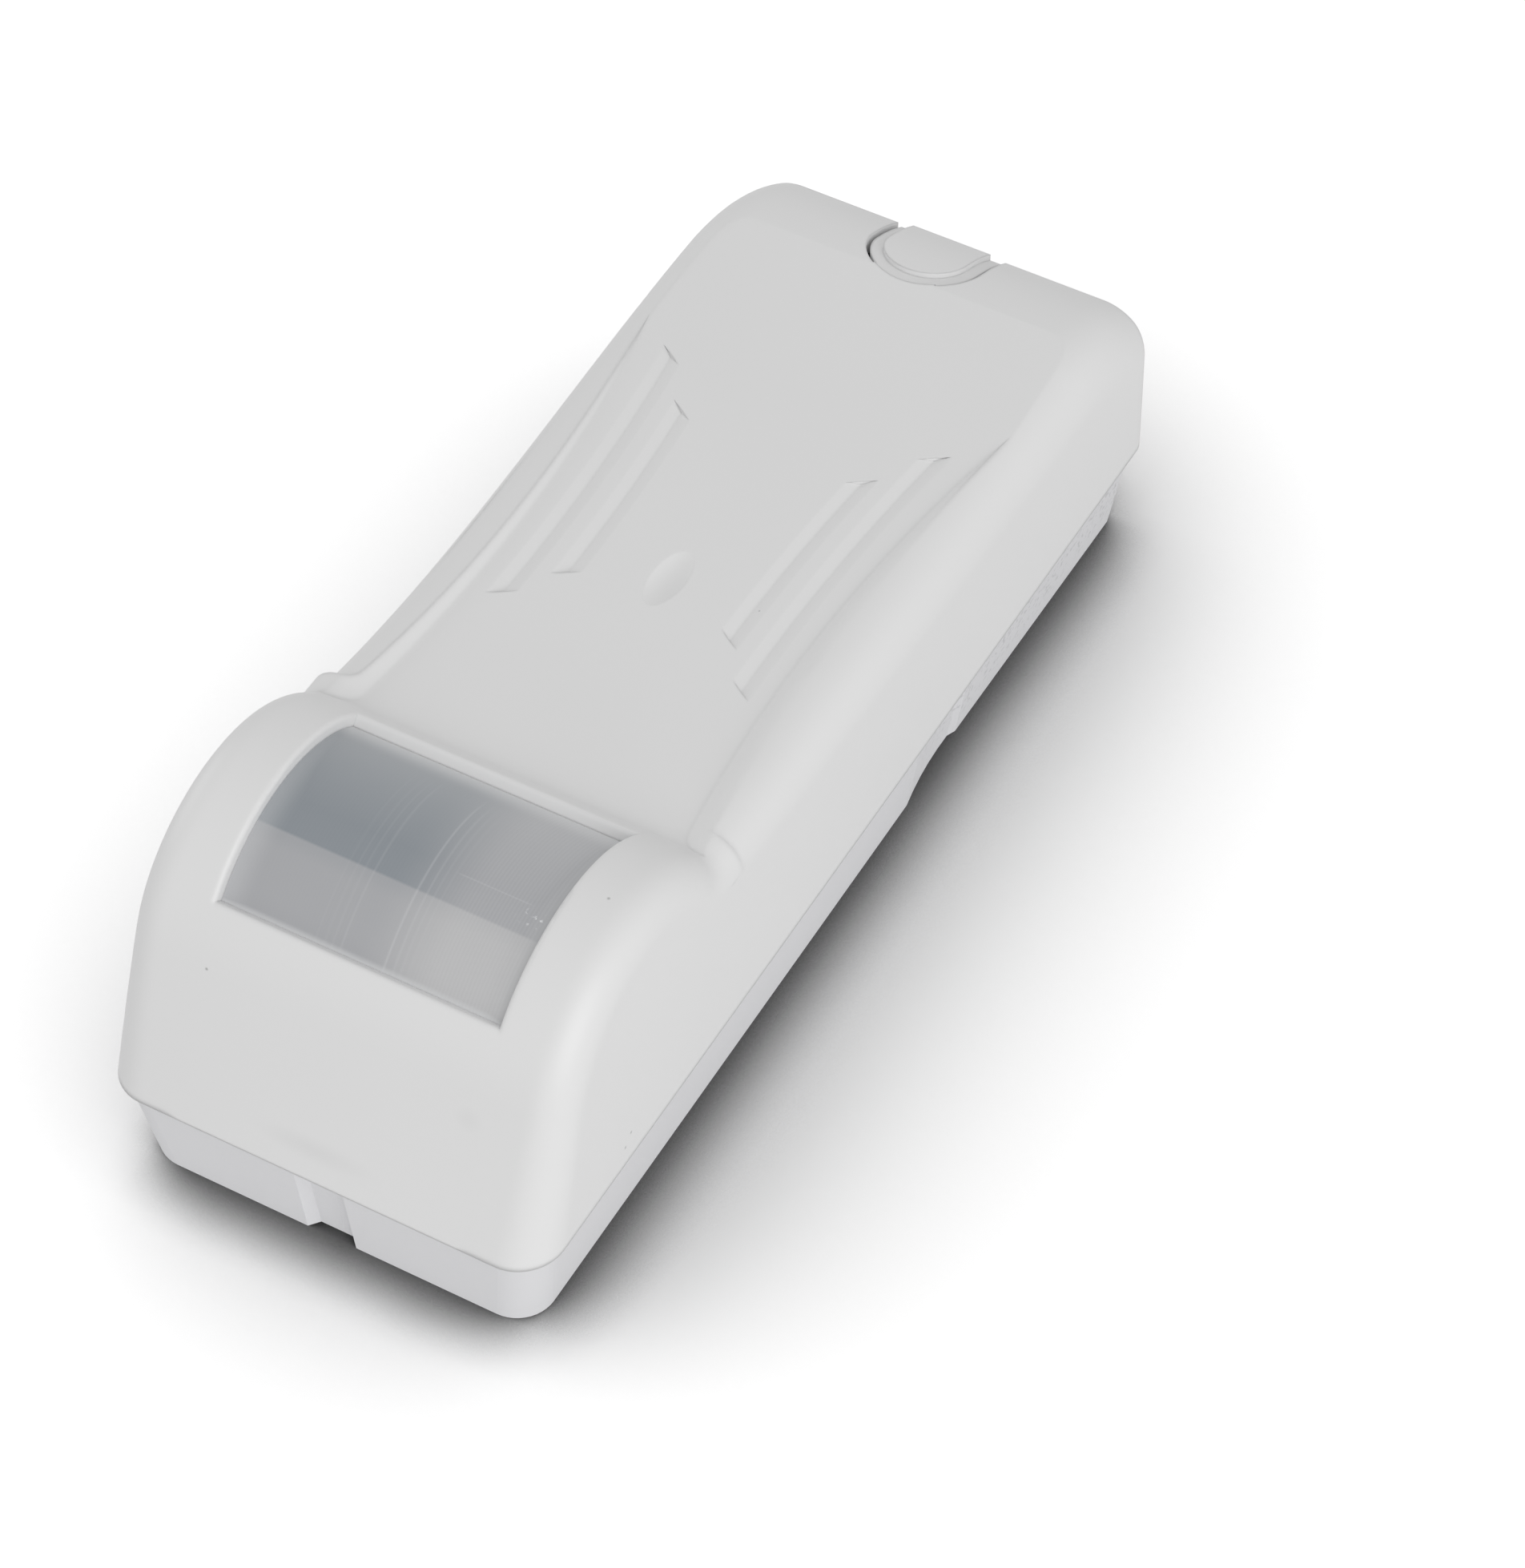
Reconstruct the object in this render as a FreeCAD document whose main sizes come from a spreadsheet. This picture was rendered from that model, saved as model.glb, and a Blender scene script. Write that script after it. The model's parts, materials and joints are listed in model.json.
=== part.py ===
import FreeCAD, Part
import os
from math import atan, cos, degrees, radians, sin, sqrt, tan
from FreeCAD import Vector as V

doc = FreeCAD.newDocument("curtain_detector")
sheet = doc.addObject("Spreadsheet::Sheet", "Sizes")

# Sizes in millimetres, angles in degrees. The back lies at z 0 and +Z points out of the front.
SIZES = [
    ("cover_length", 103.3), ("cover_width", 39.2), ("seam_height", 9.4), ("cover_wall", 1.8),
    ("crown_height", 32.55), ("head_radius", 14.4), ("front_lean", 19.4), ("rear_slope", 47.0),
    ("ridge_drop", 5.4), ("ridge_fall", 0.0040), ("panel_drop", 0.95), ("panel_rise", 0.0120),
    ("foot_radius", 1.9), ("panel_foot_radius", 2.5), ("rolloff_length", 12.9), ("rolloff_radius", 22.5),
    ("side_draft_low", 0.8), ("side_draft_high", 2.9),
    ("shoulder_near", 3.8), ("shoulder_head", 3.0), ("shoulder_mid", 5.9), ("shoulder_far", 4.9),
    ("shoulder_end", 2.2),
    ("flank_waist", 13.3), ("flank_waist_y", 2.0), ("flank_radius", 150.0), ("flank_slope", 36.0),
    ("flank_edge_radius", 1.8),
    ("window_half_width", 12.3), ("window_low_angle", 41.0), ("window_top_angle", 49.5), ("window_edge", 0.4),
    ("rebate_depth", 1.1), ("rebate_margin", 1.2), ("lens_thickness", 0.6),
    ("frame_depth", 0.95), ("frame_border", 1.0), ("apron_angle", 69.0),
    ("groove_half_width", 1.05), ("groove_depth", 0.32), ("groove_radius", 200.0), ("groove_miter", 1.4),
    ("outer_groove_x", 10.75), ("outer_groove_near", -5.8), ("outer_groove_far", 25.4),
    ("inner_groove_x", 7.4), ("inner_groove_near", -1.5), ("inner_groove_far", 20.2),
    ("leaf_near", -0.7), ("leaf_far", 5.9), ("leaf_half_width", 1.5), ("leaf_depth", 0.45),
    ("tongue_inset", 4.85), ("tongue_radius", 5.0), ("tongue_slit", 0.35), ("tongue_root", 2.9),
    ("tongue_inner_radius", 3.7), ("tongue_recess", 0.3), ("tongue_proud", 0.25),
    ("catch_top", 12.8), ("catch_bridge", 1.6), ("catch_thickness", 1.3), ("catch_bottom", 4.6),
    ("catch_reach", 1.2), ("catch_hook", 1.4), ("catch_half_width", 3.2), ("catch_gap", 0.3),
    ("hinge_x", 9.0), ("hinge_half_width", 2.5),
    ("back_side_inset", 1.9), ("back_near_inset", 2.05), ("back_far_inset", 1.45), ("base_setback", 0.62),
    ("base_wall", 1.9), ("base_floor", 2.0), ("base_corner", 3.2), ("base_far_corner", 1.8),
    ("rim_bevel", 0.55), ("lip_rise", 1.4), ("lip_wall", 0.9),
    ("lip_gap", 0.25), ("slot_gap", 0.2), ("slot_depth", 1.15),
    ("notch_x", -0.3), ("notch_half_mouth", 2.2), ("notch_half_floor", 1.5), ("notch_depth", 0.85),
    ("scallop_length", 40.3), ("scallop_curve", 8.55), ("scallop_ramp", 0.8), ("scallop_depth", 0.7),
    ("scallop_land", 0.35),
    ("mount_middle", 2.0), ("mount_spacing", 40.0), ("mount_hole", 4.2), ("mount_sink", 7.8),
    ("mount_boss", 11.0), ("mount_boss_rise", 1.5),
    ("cable_hole", 8.0), ("cable_inset", 9.35),
    ("post_x", 13.0), ("post_near_inset", 3.0), ("post_far_inset", 3.4), ("post_diameter", 5.0),
    ("peg_diameter", 2.0),
    ("board_bottom", 11.4), ("board_thickness", 1.6), ("board_half_width", 15.4), ("board_near_inset", 7.65),
    ("board_far_inset", 14.25), ("board_hole", 2.3), ("driver_hole", 9.0),
    ("screw_diameter", 2.0), ("screw_length", 6.0), ("screw_head", 4.0), ("screw_head_height", 1.5),
    ("sensor_diameter", 8.4), ("sensor_flange", 9.2), ("sensor_flange_height", 0.5), ("sensor_height", 3.7),
    ("sensor_skin", 0.25), ("spacer_height", 1.6), ("sensor_pin", 0.5), ("sensor_pin_circle", 2.54),
    ("filter_length", 4.8), ("filter_width", 3.8), ("filter_thickness", 0.4), ("sensor_opening", 0.35),
    ("collar_height", 6.8), ("collar_top_radius", 7.6), ("collar_wall", 0.9),
    ("led_y", 3.0), ("led_length", 3.2), ("led_width", 1.6), ("led_height", 1.3),
    ("pipe_diameter", 3.0), ("pipe_gap", 0.3), ("sleeve_wall", 1.0), ("sleeve_depth", 4.0),
    ("block_half_width", 10.4), ("block_edge_gap", 0.4), ("block_depth", 7.4), ("block_clear", 2.5),
    ("block_pitch", 4.0), ("block_ways", 5), ("wire_opening", 2.8), ("wire_floor_share", 0.16),
    ("wire_height_share", 0.4), ("clamp_depth", 3.0), ("clamp_side", 0.5), ("terminal_screw", 2.6),
    ("screw_sink", 1.0), ("screw_slot", 0.5), ("screw_slot_depth", 0.6),
    ("column_start", 9.5), ("amplifier_start", 7.55),
    ("tamper_x", -9.5), ("tamper_size", 6.0), ("tamper_height", 3.6),
    ("plunger_diameter", 2.8), ("plunger_rise", 1.0), ("plunger_rib", 1.6), ("plunger_deep", 1.2),
    ("relay_x", -9.8), ("relay_length", 12.0), ("relay_width", 7.4), ("relay_clear", 4.1),
    ("can_cap_x", 9.6), ("can_cap_diameter", 5.0), ("can_cap_clear", 3.9),
    ("chip_x", -9.2), ("amplifier_x", 8.8),
    ("chip_length", 9.9), ("chip_width", 3.9), ("chip_height", 1.5), ("chip_lift", 0.15), ("lead_pitch", 1.27),
    ("lead_width", 0.42), ("lead_reach", 1.0), ("lead_thickness", 0.22),
    ("regulator_x", 10.2), ("regulator_length", 4.5), ("regulator_width", 2.6), ("regulator_height", 1.5),
    ("tab_length", 1.3), ("tab_width", 0.5), ("tab_pitch", 1.5), ("tab_thickness", 0.4), ("wide_tab", 1.9),
    ("crystal_x", 9.4), ("crystal_length", 10.8), ("crystal_width", 4.4), ("crystal_height", 3.4),
    ("surge_x", 10.6), ("surge_thickness", 3.2), ("surge_lift", 1.0), ("surge_clear", 3.1),
    ("surge_edge_share", 0.28), ("surge_lead", 0.7), ("surge_lead_share", 0.65),
    ("header_x", -9.2), ("header_pitch", 2.54), ("header_base", 2.5), ("header_pin", 0.64),
    ("header_pin_clear", 2.7), ("cap_clear", 3.2), ("cap_gap", 0.15),
    ("passive_length", 2.0), ("passive_width", 1.25), ("passive_height", 0.55), ("passive_cap_height", 0.95),
    ("passive_pitch", 2.2), ("passive_x", -12.6), ("passive_mid_x", 4.1), ("passive_edge_x", 12.4),
]
for row, (alias, value) in enumerate(SIZES, 1):
    sheet.set("A%d" % row, alias)
    sheet.set("B%d" % row, str(value))
    sheet.setAlias("B%d" % row, alias)
doc.recompute()


def size(alias):
    return float(getattr(sheet, alias))


def feature(label, shape):
    obj = doc.addObject("Part::Feature", label)
    obj.Label = label
    obj.Shape = shape
    return obj


def block(x0, x1, y0, y1, z0, z1):
    return Part.makeBox(x1 - x0, y1 - y0, z1 - z0, V(x0, y0, z0))


def rod(radius, x, y, z0, z1):
    return Part.makeCylinder(radius, z1 - z0, V(x, y, z0))


def prism_x(points, half):
    face = Part.Face(Part.makePolygon([V(-half, y, z) for y, z in points + points[:1]]))
    return face.extrude(V(2 * half, 0, 0))


def prism_z(points, z0, z1):
    face = Part.Face(Part.makePolygon([V(x, y, z0) for x, y in points + points[:1]]))
    return face.extrude(V(0, 0, z1 - z0))


def mirrored(shape):
    return shape.mirror(V(0, 0, 0), V(1, 0, 0))


def middle_of(edge):
    return edge.valueAt((edge.FirstParameter + edge.LastParameter) / 2)


# Side outline of the head, ridge and roll-off, all tied to the sheet
seam = size("seam_height")
half_length = size("cover_length") / 2
half_width = size("cover_width") / 2
crown = size("crown_height")
ridge_z = crown - size("ridge_drop")
panel_z = ridge_z - size("panel_drop")
lean = radians(size("front_lean"))
rear = radians(size("rear_slope"))
head_r = size("head_radius")
head_z = crown - head_r
head_y = -half_length + head_r / cos(lean) + (head_z - seam) * tan(lean)
wall = size("cover_wall")
roll_y = half_length - size("rolloff_length")


def ridge(y):
    return ridge_z - size("ridge_fall") * y


def panel(y):
    return panel_z + size("panel_rise") * y


roll_z = ridge(roll_y) - size("rolloff_radius")
far_top_y = half_length - 0.1


def meet_rear_slope(radius, height, fall):
    """Y where the rear slope tangent to the head arc meets the line z = height - fall * y."""
    ty, tz = head_y + radius * sin(rear), head_z + radius * cos(rear)
    return ty, tz, (tz + ty * tan(rear) - height) / (tan(rear) - fall)


def outline(inset, top, fall, low):
    """Closed side outline set in by inset, with the line z = top - fall * y as its long upper edge."""
    arc_r = head_r - inset
    front_y = -half_length + inset / cos(lean) + (low - seam) * tan(lean)
    ay, az = head_y - arc_r * cos(lean), head_z + arc_r * sin(lean)
    ty, tz, fy = meet_rear_slope(arc_r, top, fall)
    fz = top - fall * fy
    far_r = size("rolloff_radius") - inset
    sy = roll_y
    sz = roll_z + far_r
    ey = far_top_y - inset
    ez = roll_z + sqrt(far_r ** 2 - (ey - sy) ** 2)
    my = (sy + ey) / 2
    mz = roll_z + sqrt(far_r ** 2 - (my - sy) ** 2)
    p = lambda y, z: V(0, y, z)
    edges = [Part.makeLine(p(front_y, low), p(ay, az)),
             Part.Arc(p(ay, az), p(head_y, head_z + arc_r), p(ty, tz)).toShape(),
             Part.makeLine(p(ty, tz), p(fy, fz)), Part.makeLine(p(fy, fz), p(sy, sz)),
             Part.Arc(p(sy, sz), p(my, mz), p(ey, ez)).toShape(),
             Part.makeLine(p(ey, ez), p(half_length - inset, low)),
             Part.makeLine(p(half_length - inset, low), p(front_y, low))]
    face = Part.Face(Part.Wire(edges))
    face.translate(V(-size("cover_width"), 0, 0))
    return face.extrude(V(2 * size("cover_width"), 0, 0)), fy, fz


def side_section(inset, low):
    """Cross section across the width, each side one long arc that leans in more toward the crown."""
    d1, d2 = radians(size("side_draft_low")), radians(size("side_draft_high"))
    radius = (crown - seam) / (sin(d2) - sin(d1))
    centre_x, centre_z = half_width - radius * cos(d1), seam - radius * sin(d1)
    y = -size("cover_length")

    def on_side(angle):
        return V(centre_x + (radius - inset) * cos(angle), y, centre_z + (radius - inset) * sin(angle))

    b, m, c = on_side(d1), on_side((d1 + d2) / 2), on_side(d2)
    a = V(b.x + (b.z - low + wall) * tan(d1), y, low - wall)
    top = V(c.x - crown * tan(d2), y, c.z + crown)
    f = lambda q: V(-q.x, q.y, q.z)
    wire = Part.Wire([Part.makeLine(a, b), Part.Arc(b, m, c).toShape(), Part.makeLine(c, top),
                      Part.makeLine(top, f(top)), Part.makeLine(f(top), f(c)),
                      Part.Arc(f(c), f(m), f(b)).toShape(), Part.makeLine(f(b), f(a)), Part.makeLine(f(a), a)])
    return Part.Face(wire).extrude(V(0, 2 * size("cover_length"), 0))


# Outer form of the cover: outline and section together, foot of the head rounded
side, foot_y, foot_z = outline(0, ridge_z, size("ridge_fall"), seam)
form = side.common(side_section(0, seam))
near = lambda v, y, z: abs(v.Point.y - y) < 0.01 and abs(v.Point.z - z) < 0.01
foot_edges = [e for e in form.Edges if all(near(v, foot_y, foot_z) for v in e.Vertexes)]
form = form.makeFillet(size("foot_radius"), foot_edges)
form_obj = feature("cover_form", form)


def shoulder(y):
    """Radius of the long upper edges at a place along the cover."""
    arc_y, tangent_y = head_y - head_r * cos(lean), head_y + head_r * sin(rear)
    if y < arc_y:
        part = (y + half_length) / (arc_y + half_length)
        return size("shoulder_near") + (size("shoulder_head") - size("shoulder_near")) * part
    if y < tangent_y:
        return size("shoulder_head")
    if y < foot_y:
        part = (y - tangent_y) / (foot_y - tangent_y)
        return size("shoulder_head") + (size("shoulder_mid") - size("shoulder_head")) * part
    if y <= roll_y:
        part = (y - foot_y) / (roll_y - foot_y)
        return size("shoulder_mid") + (size("shoulder_far") - size("shoulder_mid")) * part
    return size("shoulder_far")


def is_side(face):
    u0, u1, v0, v1 = face.ParameterRange
    return abs(face.normalAt((u0 + u1) / 2, (v0 + v1) / 2).x) > 0.9


shoulders = []
for number, edge in enumerate(form.Edges, 1):
    faces = [face for face in form.Faces if any(other.isSame(edge) for other in face.Edges)]
    on_seam = all(abs(v.Point.z - seam) < 0.01 for v in edge.Vertexes)
    if [is_side(face) for face in faces].count(True) == 1 and not on_seam:
        start, end = edge.valueAt(edge.FirstParameter).y, edge.valueAt(edge.LastParameter).y
        if min(start, end) > far_top_y - 0.01:
            shoulders.append((number, size("shoulder_end"), size("shoulder_end")))
        else:
            shoulders.append((number, shoulder(start), shoulder(end)))
rounded = doc.addObject("Part::Fillet", "rounded_form")
rounded.Base = form_obj
rounded.Edges = shoulders
doc.recompute()
cover = rounded.Shape

# Sunk panel between the two waisted flanks
tilt = degrees(atan(size("panel_rise")))
flank_slope = radians(size("flank_slope"))
edge_r = size("flank_edge_radius")
low_z = panel_z - 4
top_z = ridge_z
flank_r = size("flank_radius")
edge_drop = edge_r * (1 - cos(flank_slope))
edge_run = edge_r * sin(flank_slope)
crease_rho = flank_r
edge_rho = crease_rho - (top_z - edge_drop - panel_z) / tan(flank_slope) - edge_run
flank_x = size("flank_waist") + flank_r
flank_y = size("flank_waist_y")


def at_rho(rho, z):
    return V(flank_x - rho, flank_y, z)


low_rho = crease_rho + (panel_z - low_z) / tan(flank_slope)
mid_point = at_rho(edge_rho + edge_r * sin(flank_slope / 2), top_z - edge_r * (1 - cos(flank_slope / 2)))
points = [at_rho(edge_rho - 9, top_z), at_rho(edge_rho, top_z),
          at_rho(edge_rho + edge_run, top_z - edge_drop), at_rho(low_rho, low_z), at_rho(edge_rho - 9, low_z)]
flank_face = Part.Face(Part.Wire([
    Part.makeLine(points[0], points[1]), Part.Arc(points[1], mid_point, points[2]).toShape(),
    Part.makeLine(points[2], points[3]), Part.makeLine(points[3], points[4]), Part.makeLine(points[4], points[0])]))
sweep = 28
flank = flank_face.revolve(V(flank_x, flank_y, 0), V(0, 0, 1), sweep)
flank.rotate(V(flank_x, flank_y, 0), V(0, 0, 1), -sweep / 2)
flank.rotate(V(0, 0, top_z), V(1, 0, 0), -degrees(atan(size("ridge_fall"))))
rear_ty, rear_tz, panel_foot = meet_rear_slope(head_r, panel_z, -size("panel_rise"))
sky = crown + 6
pocket = prism_x([(rear_ty, rear_tz), (panel_foot, panel(panel_foot)), (half_length + 4, panel(half_length + 4)),
                  (half_length + 4, sky), (rear_ty, sky)], size("cover_width"))
bend = [e for e in pocket.Edges if all(near(v, panel_foot, panel(panel_foot)) for v in e.Vertexes)]
pocket = pocket.makeFillet(size("panel_foot_radius"), bend)
pocket = pocket.cut([flank, mirrored(flank)])
cover = cover.cut(pocket)

# Hollow inside, following the outside at one wall thickness
inner_top = panel_z - wall
inside, hollow_y, hollow_z = outline(wall, inner_top, -size("panel_rise"), seam - 1)
inside = inside.common(side_section(wall, seam - 1))
cover = cover.cut(inside)


def sector(r0, r1, low_angle, top_angle, half):
    """Slice of a tube about the head axis, from an angle above the near horizon to one above the far."""
    a0, a1 = radians(low_angle), radians(180 - top_angle)
    p = lambda r, a: V(-half, head_y - r * cos(a), head_z + r * sin(a))
    am = (a0 + a1) / 2
    wire = Part.Wire([Part.makeLine(p(r0, a0), p(r1, a0)), Part.Arc(p(r1, a0), p(r1, am), p(r1, a1)).toShape(),
                      Part.makeLine(p(r1, a1), p(r0, a1)), Part.Arc(p(r0, a1), p(r0, am), p(r0, a0)).toShape()])
    return Part.Face(wire).extrude(V(2 * half, 0, 0))


# Lens window with a seat cut from inside
low_a, top_a = size("window_low_angle"), size("window_top_angle")
seat_r = head_r - size("rebate_depth")
margin = size("rebate_margin")
margin_a = degrees(margin / seat_r)
window_half = size("window_half_width")
seat_half = window_half + margin
cover = cover.cut(sector(head_r - 3 * wall, head_r + wall, low_a, top_a, window_half))


def on_window_edge(edge):
    m = middle_of(edge)
    from_axis = sqrt((m.y - head_y) ** 2 + (m.z - head_z) ** 2)
    return abs(from_axis - head_r) < 0.01 and abs(m.x) < window_half + 0.01 and m.z > head_z


cover = cover.makeFillet(size("window_edge"), [e for e in cover.Edges if on_window_edge(e)])
seat = sector(head_r - 3 * wall, seat_r, low_a - margin_a, top_a - margin_a, seat_half)
cover = cover.cut(seat)

lens_r = seat_r - size("lens_thickness")
lens = sector(lens_r, seat_r, low_a - margin_a, top_a - margin_a, seat_half)
frame_r = lens_r - size("frame_depth")
border = size("frame_border")
border_a = degrees(border / lens_r)
frame = sector(frame_r, lens_r, low_a - margin_a, top_a - margin_a, seat_half)
opening = sector(frame_r - 1, lens_r + 1, size("apron_angle"), top_a + border_a, window_half - border)
corner = [e for e in opening.Edges if abs(abs(middle_of(e).x) - window_half + border) < 0.01
          and len(e.Vertexes) == 2 and abs(e.Length - size("frame_depth") - 2) < 0.01]
opening = opening.makeFillet(1.5, corner)
frame = frame.cut(opening)

# Four mitred grooves and the leaf dimple, sunk square to the tilted panel
def groove(x, near_y, far_y):
    r = size("groove_radius")
    h, d = size("groove_half_width"), size("groove_depth")
    z = panel_z
    cx = x + r
    over = 0.6
    spread = h * (d + over) / d
    face = Part.Face(Part.makePolygon([V(x - spread, 0, z + over), V(x + spread, 0, z + over), V(x, 0, z - d),
                                       V(x - spread, 0, z + over)]))
    ring = face.revolve(V(cx, 0, 0), V(0, 0, 1), 24)
    ring.rotate(V(cx, 0, 0), V(0, 0, 1), -12)
    cut_x = lambda y, off: x + off + y * y / (2 * r)
    m = size("groove_miter")
    slope = m / (2 * h)
    q = [(cut_x(far_y, h) + 3, far_y + 3 * slope), (cut_x(far_y, -h) - 3, far_y - m - 3 * slope),
         (cut_x(near_y, -h) - 3, near_y + m + 3 * slope), (cut_x(near_y, h) + 3, near_y - 3 * slope)]
    tool = ring.common(prism_z(q, z - 2, z + 2))
    tool.rotate(V(0, 0, z), V(1, 0, 0), tilt)
    return tool


grooves = [groove(size("outer_groove_x"), size("outer_groove_near"), size("outer_groove_far")),
           groove(size("inner_groove_x"), size("inner_groove_near"), size("inner_groove_far"))]
leaf_d = size("leaf_depth")
leaf_lift = (size("leaf_half_width") ** 2 - leaf_d ** 2) / (2 * leaf_d)
leaf_z = panel_z + leaf_lift
leaf_mid = (size("leaf_near") + size("leaf_far")) / 2
leaf_ends = [V(0, size("leaf_near"), leaf_z), V(leaf_lift, size("leaf_near"), leaf_z),
             V(leaf_lift, size("leaf_far"), leaf_z), V(0, size("leaf_far"), leaf_z)]
leaf_arc = Part.Arc(leaf_ends[1], V(leaf_lift + leaf_d, leaf_mid, leaf_z), leaf_ends[2]).toShape()
leaf = Part.Face(Part.Wire([Part.makeLine(leaf_ends[0], leaf_ends[1]), leaf_arc,
                            Part.makeLine(leaf_ends[2], leaf_ends[3]), Part.makeLine(leaf_ends[3], leaf_ends[0])]))
leaf = leaf.revolve(V(0, 0, leaf_z), V(0, 1, 0), 360)
leaf.rotate(V(0, 0, panel_z), V(1, 0, 0), tilt)
cover = cover.cut(grooves + [mirrored(tool) for tool in grooves] + [leaf])

# Release tongue: slit, sunk ring and raised island on the roll-off
tongue_y = half_length - size("tongue_inset")


def tongue_prism(radius, z0, z1, far):
    return rod(radius, 0, tongue_y, z0, z1).fuse(block(-radius, radius, tongue_y, far, z0, z1))


def roll_cylinder(radius):
    return Part.makeCylinder(radius, 2 * half_width, V(-half_width, roll_y, roll_z), V(1, 0, 0))


beyond = half_length + 3
tongue_r, island_r, slit = size("tongue_radius"), size("tongue_inner_radius"), size("tongue_slit")
deck = tongue_prism(tongue_r, roll_z + 10, sky, beyond)
cover = cover.cut(deck.cut(roll_cylinder(size("rolloff_radius") - size("tongue_recess"))))
island = tongue_prism(island_r, roll_z + 10, sky, far_top_y)
island = island.common(roll_cylinder(size("rolloff_radius") + size("tongue_proud")))
island = island.cut(roll_cylinder(size("rolloff_radius") - wall / 2))
island_flat = block(-half_length, half_length, 0, roll_y, panel_z - 1, sky)
cover = cover.fuse(island.cut(island_flat))
outer_u = tongue_prism(tongue_r + slit / 2, seam - 1, sky, beyond)
slit_tool = outer_u.cut(tongue_prism(tongue_r - slit / 2, seam - 2, sky + 1, beyond + 1))
slit_tool = slit_tool.cut(block(-size("tongue_root"), size("tongue_root"), 0, tongue_y, seam - 2, sky + 1))
cover = cover.cut(slit_tool)

# Catches inside the cover: one under the tongue, two at the lens end
catch_top, bridge_low = size("catch_top"), size("catch_top") - size("catch_bridge")
catch_low = size("catch_bottom")
leg = size("catch_thickness")


def base_edge(back, rim, z):
    """Outer face of the base at a height, running straight from the back to the seam."""
    return back + (rim - back) * z / seam


rim_near = -half_length + size("base_setback")
rim_far = half_length - size("base_setback")
rim_half = half_width - size("base_setback")
back_half = half_width - size("back_side_inset")
back_near = -half_length + size("back_near_inset")
back_far = half_length - size("back_far_inset")
inner_far = base_edge(back_far, rim_far, catch_low) - size("base_wall")
far_leg = min(inner_far, half_length - wall - size("lip_gap") - size("lip_wall")) - size("catch_gap")
lip_near = -half_length + wall / cos(lean) + size("lip_rise") * tan(lean) + size("lip_gap")
lip_far = half_length - wall - size("lip_gap")
near_leg = lip_near + size("lip_wall") + size("lip_gap")
reach = size("catch_reach")


def catch(x0, x1, face_y, sign, wall_y):
    """Bridge from the cover wall, leg down inside the base and hook out into its slot."""
    inner = face_y - sign * leg
    ys = lambda a, b: (min(a, b), max(a, b))
    parts = [block(x0, x1, *ys(inner, wall_y), bridge_low, catch_top), block(x0, x1, *ys(inner, face_y), catch_low, catch_top)]
    z0, z1 = catch_low + 0.2, catch_low + 0.2 + size("catch_hook")
    hook = Part.Face(Part.makePolygon([V(x0, face_y - sign * 0.3, z0), V(x0, face_y + sign * reach * 0.6, z0),
                                       V(x0, face_y + sign * reach, z1), V(x0, face_y - sign * 0.3, z1),
                                       V(x0, face_y - sign * 0.3, z0)])).extrude(V(x1 - x0, 0, 0))
    return parts[0].fuse([parts[1], hook])


catch_half, hinge_x, hinge_half = size("catch_half_width"), size("hinge_x"), size("hinge_half_width")
front_inner = -half_length + wall / cos(lean) + (bridge_low - seam) * tan(lean)
catches = [catch(-catch_half, catch_half, far_leg, 1, half_length - wall + 0.6)]
hinge = catch(hinge_x - hinge_half, hinge_x + hinge_half, near_leg, -1, front_inner - 0.4)
catches += [hinge, mirrored(hinge)]

# Sleeve for the light pipe and rib over the case switch
board_top = size("board_bottom") + size("board_thickness")
board_near = -half_length + size("board_near_inset")
board_far = half_length - size("board_far_inset")
b_far = board_far - size("block_edge_gap")
b_near = b_far - size("block_depth")
room = inner_top - board_top
led_y = size("led_y")
sleeve_r = size("pipe_diameter") / 2 + size("sleeve_wall")
ceiling = lambda y: inner_top + size("panel_rise") * y
pipe_top = ceiling(led_y) - 0.1
sleeve = rod(sleeve_r, 0, led_y, pipe_top - size("sleeve_depth"), ceiling(led_y) + 0.4)
sleeve = sleeve.cut(rod(size("pipe_diameter") / 2, 0, led_y, pipe_top - size("sleeve_depth") - 1, pipe_top))
plunger_top = board_top + size("tamper_height") + size("plunger_rise")
rib = size("plunger_rib")
rib_x = size("tamper_x")


def stacked(start, lengths):
    """Middles of parts set one after the other up to the terminal block, with equal gaps."""
    gap = (b_near - start - sum(lengths)) / (len(lengths) + (0 if start == column_low else 1))
    middles = []
    y = start + (0 if start == column_low else gap)
    for length in lengths:
        middles.append(y + length / 2)
        y += length + gap
    return middles, gap


column_low = head_y + size("column_start")
left_lengths = [3 * size("header_pitch"), size("chip_length"), size("relay_length"), size("tamper_size")]
(header_y, chip_y, relay_y, rib_y), left_gap = stacked(column_low, left_lengths)
amplifier_y = head_y + size("amplifier_start")
right_start = amplifier_y + size("chip_length") / 4
right_lengths = [size("crystal_length"), size("regulator_length"), size("can_cap_diameter"),
                 size("can_cap_diameter"), size("surge_thickness")]
(crystal_y, regulator_y, first_cap_y, second_cap_y, surge_y), right_gap = stacked(right_start, right_lengths)
press = block(rib_x - rib, rib_x + rib, rib_y - rib, rib_y + rib, plunger_top, ceiling(rib_y) + 0.4)
cover = cover.fuse(catches + [sleeve, press])
cover = cover.removeSplitter()
feature("front_cover", cover)
feature("fresnel_lens", lens)
feature("lens_frame", frame)


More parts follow.
